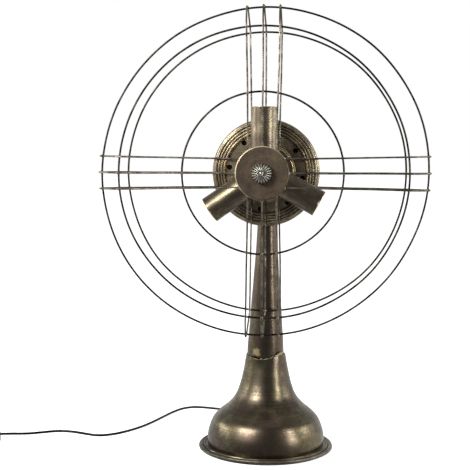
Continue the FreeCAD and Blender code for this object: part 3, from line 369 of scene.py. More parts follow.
def guard_wires(name):
    """The three wires of one arm."""
    wires = []
    for side in (-1, 0, 1):
        corners = arm_corners(side, ARM_TURNS[name])
        line = [hand_bent(p) for p in rounded(corners, BEND_R, BEND_PARTS, RUN_STEP)]
        salt = ARM_TURNS[name] + side
        wires.append(sweep(line, wire_thickness(WIRE_R, salt), WIRE_SIDES, False))
    piece = make_mesh(f"arm_{name}", *joined(wires), "head", "cage_wire")
    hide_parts(f"guard_wires_{name}")
    return piece


def blob(centre, size, salt):
    """A lump of brazing metal: a ball pushed about by noise."""
    work = bmesh.new()
    bmesh.ops.create_icosphere(work, subdivisions=2, radius=1)
    points = []
    for vert in work.verts:
        swell = 1 + WELD_LUMPS * noise.noise(vert.co * 1.4 + Vector((salt, salt * 0.7, 0)))
        points.append(centre + Vector(c * s for c, s in zip(vert.co * swell, size)))
    faces = [tuple(v.index for v in face.verts) for face in work.faces]
    work.free()
    return points, faces


def brazed_joints():
    """Lumps at every crossing of a wire and a ring, and where the wires end at the hub."""
    lumps = []
    for turn in ARM_TURNS.values():
        for side in (-1, 0, 1):
            salt = turn * 0.37 + side * 2.1
            for name, (radius, forward) in RINGS.items():
                x = math.sqrt(radius**2 - arm_spread(side, arm_foot(side, radius)) ** 2)
                lift = 0 if name == "outer_ring" else WELD_GAP / 2
                reach = x + WELD_GAP / 2 if name == "outer_ring" else x
                spot = head_point(reach, arm_spread(side, x), forward + lift, turn)
                lumps.append(blob(hand_bent(spot), WELD_SIZE, salt + radius * 50))
            hub_x, boss_x = arm_foot(side, HUB_REACH), arm_foot(side, BOSS_REACH)
            at_hub = head_point(hub_x + HUB_WELD_OUT, arm_spread(side, hub_x), front_forward(hub_x), turn)
            lumps.append(blob(at_hub, WELD_SIZE * HUB_WELD_SCALE, salt + 9))
            at_boss = head_point(boss_x, arm_spread(side, boss_x), rear_forward(boss_x), turn)
            lumps.append(blob(at_boss, WELD_SIZE * BOSS_WELD_SCALE, salt + 5))
    return make_mesh("brazed_joints", *joined(lumps), "head", "cage_wire", 80)


# --- stand -----------------------------------------------------------------------------------------
SHEET = 1.2 * MM
KNOT_PARTS = 10
BELL_STEPS, STEM_STEPS, FOOT_STEPS = 240, 160, 320
# size and depth of the dents of each piece
BELL_DENTS, STEM_DENTS, FOOT_DENTS = (40 * MM, 0.35 * MM), (30 * MM, 0.3 * MM), (25 * MM, 0.4 * MM)
# (radius, height) of the outer sides, in millimetres
BELL_KNOTS = [
    (92.6, 7.2),
    (92.9, 20.0),
    (90.4, 34.0),
    (83.8, 50.0),
    (73.6, 61.0),
    (59.0, 73.0),
    (47.9, 87.0),
    (40.9, 105.0),
    (35.9, 126.0),
    (32.4, 144.0),
    (31.2, 150.0),
]
STEM_KNOTS = [
    (29.2, 145.5),
    (28.6, 165.0),
    (26.1, 201.0),
    (23.8, 233.0),
    (21.1, 267.0),
    (17.9, 310.0),
    (16.1, 345.0),
    (15.4, 358.5),
]
# height of the bell's torn upper edge by degrees from the front, in millimetres
LIP_KNOTS = [
    (-180, 151.5),
    (-90, 152.2),
    (-50, 151.0),
    (-32, 149.6),
    (-16, 148.8),
    (-2, 147.6),
    (12, 148.8),
    (30, 152.6),
    (49, 156.5),
    (60, 156.6),
    (72, 154.8),
    (90, 152.4),
    (180, 151.5),
]
BELL_TOP, LIP_START = BELL_KNOTS[-1][1] * MM, 128 * MM
# hills along the torn edge: degrees from the front, width in degrees, and millimetres or strength
LIP_GAPS = [(-21, 12, 1.9), (52, 12, 0.7)]
LIP_RUBS = [(-20, 14, 0.7), (47, 9, 0.8)]
LIP_RUB_H, LIP_RUB_ALL = 1.4 * MM, 0.15
# the stem leans to the right by this slope, about the height where it stays on the axis
STEM_LEAN, STEM_UPRIGHT_Z = 0.008, 250 * MM


def shell_outline(knots, parts):
    """A closed outline of a thin sheet whose outer side runs through the knots."""
    outer = smooth_run([(r * MM, h * MM) for r, h in knots], parts)
    inner = []
    for i, (r, h) in enumerate(outer):
        before, after = outer[max(i - 1, 0)], outer[min(i + 1, len(outer) - 1)]
        run = math.dist(before, after)
        dr, dh = after[0] - before[0], after[1] - before[1]
        inner.append((r - SHEET * dh / run, h + SHEET * dr / run))
    inner[0] = (inner[0][0], outer[0][1])
    inner[-1] = (inner[-1][0], outer[-1][1])
    return outer + inner[::-1]


def dented(radius, height, turn, size, depth):
    """A radius that wanders a little, as on thin metal worked by hand."""
    spot = Vector((math.cos(turn) * radius, math.sin(turn) * radius, height)) / size
    return radius + noise.noise(spot) * depth


def bell_shape(r, h, turn):
    """The bell's top follows the torn edge, and stands off the stem at two places."""
    front = from_front(turn)
    if h > LIP_START:
        edge = between(LIP_KNOTS, front) * MM
        share = (h - LIP_START) / (BELL_TOP - LIP_START)
        h = LIP_START + (edge - LIP_START) * share
        r += hills(front, LIP_GAPS) * MM * share**3
    return dented(r, h, turn, *BELL_DENTS), h


def bell_wear(r, h, turn):
    """Rubbed along the torn edge, and most on its left and right."""
    rubbed = LIP_RUB_ALL + hills(from_front(turn), LIP_RUBS)
    return min(bump_at(h, BELL_TOP, LIP_RUB_H) * rubbed, 1.0)


def base_bell():
    """Spun bell of the base, with its uneven upper edge."""
    outline = shell_outline(BELL_KNOTS, KNOT_PARTS)
    piece = lathe("bell_shell", outline, BELL_STEPS, "stand", "aged_brass", None, bell_shape, bell_wear)
    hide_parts("base_bell")
    return piece


def stem_shape(r, h, turn):
    """The stem's slight dents."""
    return dented(r, h, turn, *STEM_DENTS), h


# the rubbed patch's middle and half sizes: degrees from the front, and height in millimetres
PATCH_DEG, PATCH_H, PATCH_HALF_DEG, PATCH_HALF_H = -27, 158.5, 15, 7
# the seam's dirt and painted shade: how far above the torn edge, how dark it is, and the slit at the left,
# painted darkest as the shade in it
SEAM_UP, SEAM_DIRT_AND_SHADE, SLIT_SHADE = 0.6, 0.45, [(-22, 20, 0.8)]


def stem_wear_and_shade(r, h, turn):
    """A rubbed patch low on the left of the front, and dirt with painted shade in the seam, darkest in its
    slit as painted shade.
    """
    front = from_front(turn)
    wander = noise.noise(Vector((front * 0.11, h / MM * 0.22, 1.7)))
    across, up = (front - PATCH_DEG) / PATCH_HALF_DEG, (h / MM - PATCH_H) / PATCH_HALF_H
    rubbed = max(0.0, 1.1 - 0.85 * (math.hypot(across, up) + 0.6 * wander))
    # painted shade: the seam, and most of all the slit, is darkened to stand for the shade in the gap
    seam_dirt_and_shade = SEAM_DIRT_AND_SHADE + hills(front, SLIT_SHADE)
    return rubbed - seam_dirt_and_shade * bump_at(h / MM, between(LIP_KNOTS, front) + SEAM_UP, 0.6 + 0.7 * seam_dirt_and_shade)


def stem():
    """Tapered stem."""
    outline = shell_outline(STEM_KNOTS, KNOT_PARTS)
    lean = Matrix.Identity(4)
    lean[0][2], lean[0][3] = STEM_LEAN, -STEM_LEAN * STEM_UPRIGHT_Z
    piece = lathe("stem_shell", outline, STEM_STEPS, "stand", "aged_brass", lean, stem_shape, stem_wear_and_shade)
    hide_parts("stem_tube")
    return piece


SEAM_FIRST_DEG, SEAM_STEP_DEG, SEAM_POINTS = -12, 0.95, 90
# the solder's middle and half thickness in millimetres, and how these wander and swell
SEAM_R, SEAM_R_WANDER, SEAM_LIFT = 31.2, 0.4, 0.9
SEAM_HALF_T, SEAM_HALF_T_WANDER, SEAM_SWELL = 0.6, 0.3, [(34, 28, 1.0)]


def seam_bead():
    """Solder along the bell's upper edge, thick on the right of the front."""
    line, radii = [], []
    for k in range(SEAM_POINTS):
        front = SEAM_FIRST_DEG + k * SEAM_STEP_DEG
        turn = math.radians(front - 90)
        edge = between(LIP_KNOTS, front) * MM
        wander = noise.noise(Vector((k * 0.16, 3.3, 0)))
        r = (SEAM_R + SEAM_R_WANDER * wander) * MM
        line.append(Vector((r * math.cos(turn), r * math.sin(turn), edge + SEAM_LIFT * MM)))
        radii.append((SEAM_HALF_T + hills(front, SEAM_SWELL) + SEAM_HALF_T_WANDER * wander) * MM)
    points, faces = sweep(line, lambda i: radii[i], 8, False)
    return make_mesh("seam_solder", points, faces, "stand", "aged_brass", 80)


# the foot ring's two beads: where their middles are and their own radii, in millimetres
FOOT_BEAD_MID, FOOT_BEAD_R = (103.6, 5.2), 3.2
INNER_BEAD_MID, INNER_BEAD_R = (97.9, 7.1), 1.5
# its inner edge and underside, as (radius, height)
FOOT_LOW = [(84.0, 7.0), (84.0, 3.2), (98.7, 3.2), (98.7, 2.0)]
# hills round the foot: degrees from the front, width in degrees, and millimetres or strength
FOOT_TEARS = [(-19, 4, 1.2), (33, 6, -0.6), (-52, 3, 0.48)]
FOOT_NICKS = [(-14, 2.5, 0.9), (28, 4, 0.5)]
FOOT_RUBS = [(-25, 9, 1.0), (-53, 4, 1.0), (34, 7, 0.9)]
# places on the outline, as (radius, height): the beads' crowns and the darkened grooves
INNER_CROWN, OUTER_CROWN, COVE = (97.9, 8.0), (105.3, 7.6), (99.8, 6.6)
# the groove where the bell meets the ring, and the height below which the ring is painted dark as the
# shade under its outer bead
BELL_GROOVE_R, SHADED_BELOW_H = 95.9, 4.4


def foot_outline():
    """Outline of the foot ring: a thin inner bead, a cove and a rolled outer bead."""
    bead = arc(FOOT_BEAD_MID, FOOT_BEAD_R, -90, 117, 18)
    inner = arc(INNER_BEAD_MID, INNER_BEAD_R, -35, 169, 12)
    return dense([(r * MM, h * MM) for r, h in FOOT_LOW + bead + inner], 2 * MM)


def near(r, h, place, width):
    """1 at a place on the outline, and 0 away from it."""
    return bump_at(math.dist((r / MM, h / MM), place), 0, width)


def foot_shape(r, h, turn):
    """The inner bead is torn and nicked at a few places near the front."""
    front = from_front(turn)
    crown = near(r, h, INNER_CROWN, 1.3)
    r += crown * hills(front, FOOT_TEARS) * MM
    h -= crown * hills(front, FOOT_NICKS) * MM
    return dented(r, h, turn, *FOOT_DENTS), h


def foot_wear_and_shade(r, h, turn):
    """Rubbed on the beads' crowns, darker in the grooves, and painted with shade below, under the outer
    bead.
    """
    rubbed = near(r, h, INNER_CROWN, 1.3) * (0.2 + hills(from_front(turn), FOOT_RUBS))
    groove = near(r, h, COVE, 1.1) + bump_at(r / MM, BELL_GROOVE_R, 0.8)
    # painted shade: the underside, below that height, is darkened as the shade where the foot meets the
    # floor
    below = min(1.0, max(0.0, (SHADED_BELOW_H - h / MM) / 2))
    return min(1.0, rubbed + 0.1 * near(r, h, OUTER_CROWN, 1.2)) - 0.8 * groove - below


def foot_ring():
    """Moulded ring round the foot, with its nicks."""
    outline = foot_outline()
    piece = lathe("foot_moulding", outline, FOOT_STEPS, "stand", "aged_brass", None, foot_shape, foot_wear_and_shade)
    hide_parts("foot_ring")
    return piece


# --- hub -------------------------------------------------------------------------------------------
HUB_FRONT = -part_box("hub_disc")[0][1]
HUB_BACK = -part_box("hub_disc")[1][1]
DISC_R = half_size("hub_disc").x
KNOB_FOOT = -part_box("finial_knob")[1][1]
KNOB_FRONT = -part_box("finial_knob")[0][1]
KNOB_LOBES = 20
TIE_ROD_R = 3.05 * MM
DISC_EDGE_R, DISC_BACK_EDGE = 1.9 * MM, 0.6 * MM
DISC_DENT_H, DISC_DENTS_PER_M = 0.35 * MM, 45
DISC_STEPS, BOSS_STEPS, KNOB_STEPS, SLEEVE_STEPS = 160, 120, 200, 120
# where the disc's rubbed edge is painted brightest, as a highlight, in degrees round the head's axis
HIGHLIGHT_SIDE_DEG = 140
BOSS_NOSE_R = 38.5 * MM


def on_head_axis():
    """Places a shape drawn up the vertical axis on the head's axis, pointing forward."""
    return Matrix.Translation(HEAD_MIDDLE) @ Matrix.Rotation(math.radians(90), 4, "X")


def hub_disc():
    """Front disc of the hub, a little uneven, with a rubbed edge painted brightest on its upper left as a
    highlight.
    """
    edge = arc((DISC_R - DISC_EDGE_R, HUB_FRONT - DISC_EDGE_R), DISC_EDGE_R, 0, 90, 8)
    back = [(DISC_R - DISC_BACK_EDGE, HUB_BACK), (DISC_R, HUB_BACK + DISC_BACK_EDGE)]
    outline = dense([(TIE_ROD_R, HUB_BACK)] + back + edge + [(TIE_ROD_R, HUB_FRONT)], 2.5 * MM)

    def shape(r, h, turn):
        if h > HUB_BACK + 1 * MM:
            spot = Vector((r * math.cos(turn), r * math.sin(turn), 0))
            h -= DISC_DENT_H * (0.5 + noise.noise(spot * DISC_DENTS_PER_M))
        return r, h

    def wear_and_painted_light(r, h, turn):
        on_edge = bump_at(r, DISC_R - 0.4 * MM, 1.2 * MM)
        # painted highlight: the rubbed edge is brightest towards the upper left and fades to nothing on
        # the other side
        highlight_side = 0.5 + 0.5 * math.cos(turn - math.radians(HIGHLIGHT_SIDE_DEG))
        return 0.95 * on_edge * highlight_side

    piece = lathe("hub_face", outline, DISC_STEPS, "head", "hub_patina", on_head_axis(), shape, wear_and_painted_light)
    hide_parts("hub_disc")
    return piece


def boss():
    """Stepped boss behind the drum, with rubbed edges on its two steps, painted bright as their
    highlights.
    """
    low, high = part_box("rear_boss")
    foot, front, radius = -high.y, -low.y, half_size("rear_boss").x
    steps = [
        (radius, foot),
        (radius, front - 6.2 * MM),
        (radius - 0.8 * MM, front - 5.4 * MM),
        (radius - 2.4 * MM, front - 5.4 * MM),
        (radius - 2.8 * MM, front - 3.7 * MM),
        (radius - 3.4 * MM, front - 3.3 * MM),
        (BOSS_NOSE_R, front - 3.3 * MM),
        (BOSS_NOSE_R, front),
    ]
    outline = dense([(TIE_ROD_R, foot)] + steps + [(TIE_ROD_R, front)], 0.6 * MM)

    def wear_and_painted_light(r, h, turn):
        # painted highlight: the steps' edges are rubbed bare and painted bright where they catch the light
        edges = bump_at(math.hypot(r - radius + 0.6 * MM, h - front + 5.6 * MM), 0, 0.9 * MM)
        edges += bump_at(math.hypot(r - radius + 3.0 * MM, h - front + 3.5 * MM), 0, 0.9 * MM)
        return min(1.0, edges)

    piece = lathe("hub_boss", outline, BOSS_STEPS, "head", "aged_cast", on_head_axis(), None, wear_and_painted_light)
    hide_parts("rear_boss")
    return piece


# (radius, height) of the knob's side over its ridges, in millimetres, up to its drawn height
KNOB_KNOTS = [
    (10.4, 0.0),
    (11.2, 1.4),
    (13.6, 2.2),
    (15.0, 3.4),
    (15.5, 5.6),
    (15.0, 8.4),
    (13.2, 11.6),
    (10.4, 14.2),
    (6.6, 16.1),
    (3.2, 16.7),
    (2.4, 16.2),
    (1.2, 17.0),
    (0.02, 17.0),
]
KNOB_DRAWN_H = KNOB_KNOTS[-1][1]
KNOB_AXIS_R, KNOB_BORE_DEPTH = KNOB_KNOTS[-1][0] * MM, 13.4 * MM
KNOB_FOOT_H, KNOB_BUTTON_R = 2.4 * MM, 3.1 * MM
FLUTE_DEPTH = 1.5 * MM


def finial_knob():
    """Domed knob with ridges that run from its middle down its side."""
    height = KNOB_FRONT - KNOB_FOOT
    side = [(r * MM, KNOB_FOOT + h / KNOB_DRAWN_H * height) for r, h in KNOB_KNOTS]
    bore_end = KNOB_FOOT + KNOB_BORE_DEPTH
    bore = [(KNOB_AXIS_R, bore_end), (TIE_ROD_R, bore_end), (TIE_ROD_R, KNOB_FOOT)]

    def ridge(turn):
        return abs(math.cos(KNOB_LOBES * turn / 2))

    def shape(r, h, turn):
        if h - KNOB_FOOT < KNOB_FOOT_H or r < KNOB_BUTTON_R:
            return r, h
        lobed = min(1.0, max(0.0, (r - 2.6 * MM) / (3 * MM)))
        depth = FLUTE_DEPTH * lobed * (1 - ridge(turn)) ** 1.3
        rise = (h - KNOB_FOOT) / height
        return r - depth * (1 - 0.6 * rise), h - depth * 0.9 * rise

    def wear_and_painted_light(r, h, turn):
        if r < 3 * MM:
            return 0.9
        return ridge(turn) ** 2 * min(1.0, (r - 2 * MM) / (4 * MM))

    place, closed = on_head_axis(), smooth_run(side, 4) + bore
    piece = lathe("knob_rosette", closed, KNOB_STEPS, "finial", "knob_metal", place, shape, wear_and_painted_light, 60)
    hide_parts("finial_knob")
    return piece


# direction of each sleeve in degrees from +X, and how far its mouth is from the head's axis
SLEEVES = {"top": (90.0, 99 * MM), "left": (214.5, 100 * MM), "right": (331.0, 95 * MM)}
SLEEVE_R, SLEEVE_WALL, SLEEVE_FOOT = 20.25 * MM, 0.9 * MM, 32 * MM
ROLL_R, ROLL_SINK = 0.75 * MM, 0.45 * MM
SLEEVE_DENTS = (22 * MM, 0.5 * MM)
# the sleeves are round up to here, inside the drum's wall, and dented in full further out
SLEEVE_ROUND_TO, SLEEVE_DENT_EASE = 46 * MM, 20 * MM


def on_sleeve_axis(degrees):
    """Places a shape drawn up the vertical axis on a sleeve's axis."""
    forward = -middle("socket_sleeve_top").y
    out = Matrix.Rotation(math.radians(90 - degrees), 4, "Y")
    return Matrix.Translation(HEAD_MIDDLE - Vector((0, forward, 0))) @ out


def sleeve(name):
    """Sleeve of one lamp holder, with a rolled mouth and a few shallow dents."""
    degrees, end = SLEEVES[name]
    roll = arc((SLEEVE_R - ROLL_SINK, end - ROLL_R), ROLL_R, -50, 180, 8)
    inner_r = SLEEVE_R - SLEEVE_WALL
    outline = [(SLEEVE_R, SLEEVE_FOOT)] + roll + [(inner_r, end - 1.6 * MM), (inner_r, SLEEVE_FOOT)]
    outline = dense(outline, 3 * MM)

    def shape(r, h, turn):
        share = min(1.0, max(0.0, (h - SLEEVE_ROUND_TO) / SLEEVE_DENT_EASE))
        return r + (dented(r, h + degrees * MM, turn, *SLEEVE_DENTS) - r) * share, h

    def wear_and_painted_light(r, h, turn):
        return 0.8 * bump_at(h, end, 1.2 * MM)

    place = on_sleeve_axis(degrees)
    piece = lathe(f"sleeve_{name}", outline, SLEEVE_STEPS, "head", "aged_brass", place, shape, wear_and_painted_light)
    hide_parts(f"socket_sleeve_{name}")
    return piece


# --- mains cord ------------------------------------------------------------------------------------
CORD_D, CORD_LENGTH = 4.2 * MM, 1.8
GROMMET_TIP = Vector((0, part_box("cord_grommet")[1][1], middle("cord_grommet").z))
# the route's points, in millimetres, the same as in the model
LEAD_ROUTE = [
    (0.0, 124.0, 26.0),
    (-1.0, 144.0, 24.4),
    (-5.0, 166.0, 16.6),
    (-13.0, 188.0, 6.6),
    (-26.0, 210.0, 2.1),
    (-46.0, 229.0, 2.1),
    (-73.0, 238.0, 2.1),
    (-104.0, 243.0, 2.1),
    (-130.0, 252.0, 2.1),
    (-152.0, 253.0, 2.1),
    (-169.0, 239.0, 2.1),
    (-181.0, 214.0, 2.1),
    (-192.0, 180.0, 2.1),
    (-203.0, 144.0, 2.1),
    (-214.0, 113.0, 2.1),
    (-226.0, 88.0, 2.1),
    (-240.0, 66.0, 2.1),
    (-258.0, 45.0, 2.1),
    (-281.0, 34.0, 2.1),
    (-305.0, 44.0, 2.1),
    (-330.0, 56.0, 2.1),
    (-355.0, 58.0, 2.1),
    (-378.0, 46.0, 2.1),
    (-402.0, 34.0, 2.1),
    (-427.0, 32.0, 2.1),
    (-442.0, 22.0, 3.8),
    (-446.0, 4.0, 7.5),
]
LINK_ROUTE = [
    (-446.0, -64.0, 7.5),
    (-445.0, -75.0, 8.4),
    (-443.4, -86.0, 9.6),
    (-442.0, -96.0, 10.3),
]
COIL_MIDDLE = (-470.0, -106.0)
# radius and height of each turn of the coil
COIL_SLOTS = [(28.4, 10.3), (24.0, 10.3), (19.6, 10.3), (19.6, 6.3), (24.0, 6.3), (28.4, 6.3), (28.4, 2.1)]
COIL_POINTS = 16
COIL_STEP_POINTS = 5
PLUG_ROUTE = [(-498.4, -112.0, 3.0), (-498.2, -102.0, 5.6), (-498.0, -92.0, 6.85)]


def coil_route():
    """Turns of the coil, clockwise from above, each stepping over to the next slot as it ends."""
    route = []
    grow = 1 / math.cos(math.pi / COIL_POINTS)
    for turn in range(len(COIL_SLOTS)):
        slot = COIL_SLOTS[turn]
        after = COIL_SLOTS[min(turn + 1, len(COIL_SLOTS) - 1)]
        points = COIL_POINTS if turn < len(COIL_SLOTS) - 1 else COIL_POINTS // 2
        for k in range(points):
            share = max(0.0, (k - COIL_POINTS + COIL_STEP_POINTS) / COIL_STEP_POINTS)
            radius = (slot[0] + (after[0] - slot[0]) * share) * grow
            height = slot[1] + (after[1] - slot[1]) * share
            angle = -math.tau * k / COIL_POINTS
            x = COIL_MIDDLE[0] + radius * math.cos(angle)
            y = COIL_MIDDLE[1] + radius * math.sin(angle)
            route.append((x, y, height))
    return route


def mains_cord():
    """The mains cord: one smooth line from the grommet to the plug."""
    route = LEAD_ROUTE + LINK_ROUTE + coil_route() + PLUG_ROUTE
    curve = bpy.data.curves.new("mains_cord", "CURVE")
    curve.dimensions = "3D"
    line = curve.splines.new("NURBS")
    line.points.add(len(route) - 1)
    for point, place in zip(line.points, route):
        point.co = (*(c * MM for c in place), 1)
        point.radius = CORD_D / 2
    line.order_u = 3
    line.use_endpoint_u = True
    line.resolution_u = 8
    curve.bevel_depth = 1.0  # times the points' radius, which the curve's box takes in too
    curve.bevel_resolution = 5
    curve.use_fill_caps = True
    piece = bpy.data.objects.new("mains_cord", curve)
    bpy.context.collection.objects.link(piece)
    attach(piece, "stand")
    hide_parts("cord_lead", "cord_link", "cord_coil")
    return piece


# --- materials -------------------------------------------------------------------------------------
class Shader:
    """Builds the nodes of one material."""

    def __init__(self, name):
        self.material = bpy.data.materials.new(name)
        self.material.use_nodes = True
        self.tree = self.material.node_tree
        self.surface = self.tree.nodes["Principled BSDF"]
        self.place = self.add("ShaderNodeTexCoord").outputs["Object"]

    def add(self, kind, inputs=None, **settings):
        """Adds a node; an input is a plain value or another node's output."""
        node = self.tree.nodes.new(kind)
        for key, value in settings.items():
            setattr(node, key, value)
        for key, value in (inputs or {}).items():
            self.put(node.inputs[key], value)
        return node

    def put(self, socket, value):
        if isinstance(value, bpy.types.NodeSocket):
            self.tree.links.new(value, socket)
        else:
            socket.default_value = value

    def set(self, **values):
        """Sets inputs of the surface shader, with their names in lower case and underscores."""
        by_name = {s.name.lower().replace(" ", "_"): s for s in self.surface.inputs}
        for key, value in values.items():
            self.put(by_name[key], value)

    def spun(self, across, along):
        """The stored place on a turned piece, stretched for lines round it or along it."""
        stored = self.add("ShaderNodeAttribute", attribute_name="spun").outputs["Vector"]
        scale = {"Vector": stored, "Scale": (across, across, along)}
        return self.add("ShaderNodeMapping", scale).outputs["Vector"]

    def shifted(self, by):
        """The place on the piece, moved so that a second noise differs from the first."""
        moved = {"Vector": self.place, "Location": (by, by, by)}
        return self.add("ShaderNodeMapping", moved).outputs["Vector"]

    def wear_and_painted_light(self):
        return self.add("ShaderNodeAttribute", attribute_name="wear_and_painted_light").outputs["Fac"]

    def noise(self, scale, detail=4.0, rough=0.55, vector=None):
        inputs = {"Vector": vector or self.place, "Scale": scale, "Detail": detail, "Roughness": rough}
        return self.add("ShaderNodeTexNoise", inputs).outputs["Fac"]

    def ramp(self, factor, stops):
        """A colour or a grey read off (place, colour) stops."""
        node = self.add("ShaderNodeValToRGB", {"Fac": factor})
        band = node.color_ramp
        while len(band.elements) < len(stops):
            band.elements.new(0.5)
        for element, (at, colour) in zip(band.elements, stops):
            element.position = at
            element.color = (*colour, 1) if isinstance(colour, tuple) else (colour, colour, colour, 1)
        return node.outputs["Color"]

    def mix(self, factor, first, second, blend="MIX"):
        node = self.add("ShaderNodeMix", data_type="RGBA", blend_type=blend)
        for key, value in ((0, factor), (6, first), (7, second)):
            is_plain = isinstance(value, tuple)
            self.put(node.inputs[key], (*value, 1) if is_plain else value)
        return node.outputs[2]

    def sum(self, first, second, operation="ADD"):
        return self.add("ShaderNodeMath", {0: first, 1: second}, operation=operation).outputs[0]

    def bump(self, height, strength, distance):
        inputs = {"Height": height, "Strength": strength, "Distance": distance}
        self.set(normal=self.add("ShaderNodeBump", inputs).outputs["Normal"])


RUBBED_AND_HIGHLIGHT = (0.66, 0.51, 0.29)
# near black: dirt, and on the stem's seam and the foot's underside also painted shade
DIRT_AND_SHADE_COLOUR = (0.008, 0.007, 0.006)
MAUVE = (0.130, 0.094, 0.080)
# colours of each aged metal: its dark, middle and warm patina, and where it is rubbed bare, which on the
# hub's disc and boss also stands for a painted highlight
BRASS_TONES = ((0.056, 0.048, 0.033), (0.130, 0.114, 0.075), (0.245, 0.198, 0.115), RUBBED_AND_HIGHLIGHT)
# painted light: the top sleeve's colours are lighter and those of the left and right sleeves darker, as
# lit and shaded copies of one metal
TOP_SLEEVE_LIT_COLOURS = ((0.146, 0.128, 0.085), (0.23, 0.197, 0.142), (0.36, 0.295, 0.185), RUBBED_AND_HIGHLIGHT)
SIDE_SLEEVE_SHADED_COLOURS = ((0.115, 0.096, 0.065), (0.185, 0.158, 0.112), (0.30, 0.245, 0.155), RUBBED_AND_HIGHLIGHT)
PAN_TONES = ((0.21, 0.18, 0.125), (0.34, 0.29, 0.205), (0.50, 0.42, 0.27), RUBBED_AND_HIGHLIGHT)
# painted shade: near black, for the mounting plate seen through the pan's vents, as the shade behind them
PAINTED_SHADE_TONES = ((0.004, 0.004, 0.003), (0.008, 0.007, 0.006), (0.014, 0.012, 0.009), RUBBED_AND_HIGHLIGHT)
RING_TONES = ((0.015, 0.013, 0.011), (0.035, 0.031, 0.025), (0.08, 0.07, 0.052), RUBBED_AND_HIGHLIGHT)
FOOT_TONES = ((0.065, 0.058, 0.046), (0.15, 0.134, 0.102), (0.27, 0.236, 0.174), (0.70, 0.63, 0.51))
DISC_TONES = ((0.074, 0.055, 0.040), (0.128, 0.098, 0.072), (0.19, 0.146, 0.102), (0.6, 0.5, 0.36))
KNOB_TONES = ((0.04, 0.037, 0.032), (0.11, 0.10, 0.085), (0.2, 0.185, 0.155), (0.38, 0.365, 0.32))
WIRE_TONES = ((0.05, 0.044, 0.035), (0.15, 0.133, 0.105), (0.30, 0.265, 0.20), (0.3, 0.25, 0.17))
SOLDER_TONES = ((0.06, 0.05, 0.04), (0.30, 0.27, 0.21), (0.55, 0.50, 0.40), (0.7, 0.62, 0.48))
# how many streaks per metre there are across a turned piece's radius and along its outline
SPUN_LINES, DRAWN_LINES, DISC_LINES, NO_LINES = (9, 900), (260, 8), (30, 400), (0, 0)
WIRE_RELIEF = 0.1


def aged_metal(name, tones, rough, lines=NO_LINES, cloud=16.0, tint=None, relief=0.35):
    """Old plated metal: clouds of patina, a rubbed layer, fine scratches and small dents."""
    s = Shader(name)
    dark, middle_tone, warm, rubbed = tones
    clouds = s.noise(cloud, 6.0, 0.62)
    mottle = s.noise(95.0, 5.0, 0.6)
    grain = s.noise(620.0, 3.0, 0.6)
    streaks = s.noise(1.0, 4.0, 0.65, s.spun(*lines)) if any(lines) else mottle
    tone = s.sum(s.sum(clouds, 0.55, "MULTIPLY"), s.sum(mottle, 0.45, "MULTIPLY"))
    tone = s.sum(s.sum(tone, 0.72, "MULTIPLY"), s.sum(streaks, 0.28, "MULTIPLY"))
    colour = s.ramp(tone, [(0.4, dark), (0.5, middle_tone), (0.6, warm)])
    if tint:
        patches = s.ramp(s.noise(cloud * 0.8, 3.0, 0.5, s.shifted(7.0)), [(0.46, 0.0), (0.6, 0.6)])
        colour = s.mix(patches, colour, tint)
    specks = s.ramp(grain, [(0.36, 0.45), (0.52, 1.0)])
    colour = s.mix(0.55, colour, specks, "MULTIPLY")
    # rubbed bare, and on the hub's disc and boss also a painted highlight, where the stored value is above
    # 0
    worn_and_painted_light = s.ramp(s.sum(s.wear_and_painted_light(), s.sum(mottle, 0.35), "MULTIPLY"), [(0.18, 0.0), (0.5, 1.0)])
    colour = s.mix(worn_and_painted_light, colour, rubbed)
    # dirt, and on the stem's seam and the foot's underside also painted shade, where the stored value is
    # below 0
    dirt_and_shade_mask = s.ramp(s.sum(s.wear_and_painted_light(), -1.0, "MULTIPLY"), [(0.1, 0.0), (0.7, 1.0)])
    colour = s.mix(dirt_and_shade_mask, colour, DIRT_AND_SHADE_COLOUR)
    low, high = rough
    roughness = s.ramp(s.sum(tone, s.sum(grain, 0.12, "MULTIPLY")), [(0.38, high), (0.66, low)])
    s.set(base_color=colour, metallic=1.0, roughness=roughness)
    height = s.sum(s.sum(mottle, 0.6, "MULTIPLY"), s.sum(streaks, 0.4, "MULTIPLY"))
    s.bump(s.sum(height, s.sum(grain, 0.25, "MULTIPLY")), relief, 0.35 * MM)
    return s.material


def plain_metal(name, colour, rough):
    """Clean metal with faint scratches and stains."""
    s = Shader(name)
    stain = s.noise(60.0, 5.0)
    stretched = s.add("ShaderNodeMapping", {"Vector": s.place, "Scale": (900, 900, 60)}).outputs[0]
    scratch = s.noise(1.0, 3.0, 0.6, stretched)
    dull = tuple(c * 0.55 for c in colour)
    tint = s.mix(s.ramp(stain, [(0.35, 0.0), (0.7, 0.6)]), colour, dull)
    roughness = s.ramp(scratch, [(0.3, rough * 0.7), (0.7, rough * 1.3)])
    s.set(base_color=tint, metallic=1.0, roughness=roughness)
    s.bump(scratch, 0.15, 0.1 * MM)
    return s.material


def moulded(name, colour, rough, grain_scale, strength, shine=0.5):
    """Plastic, felt or moulded insulation, with a fine grain and faint smudges."""
    s = Shader(name)
    smudge = s.noise(35.0, 4.0)
    grain = s.noise(grain_scale, 3.0)
    light = tuple(min(1.0, c * 1.6 + 0.002) for c in colour)
    s.set(base_color=s.mix(s.ramp(smudge, [(0.4, 0.0), (0.75, 0.5)]), colour, light))
    roughness = s.ramp(smudge, [(0.3, rough * 0.85), (0.7, rough * 1.15)])
    s.set(roughness=roughness, specular_ior_level=shine)
    s.bump(grain, strength, 0.2 * MM)
    return s.material


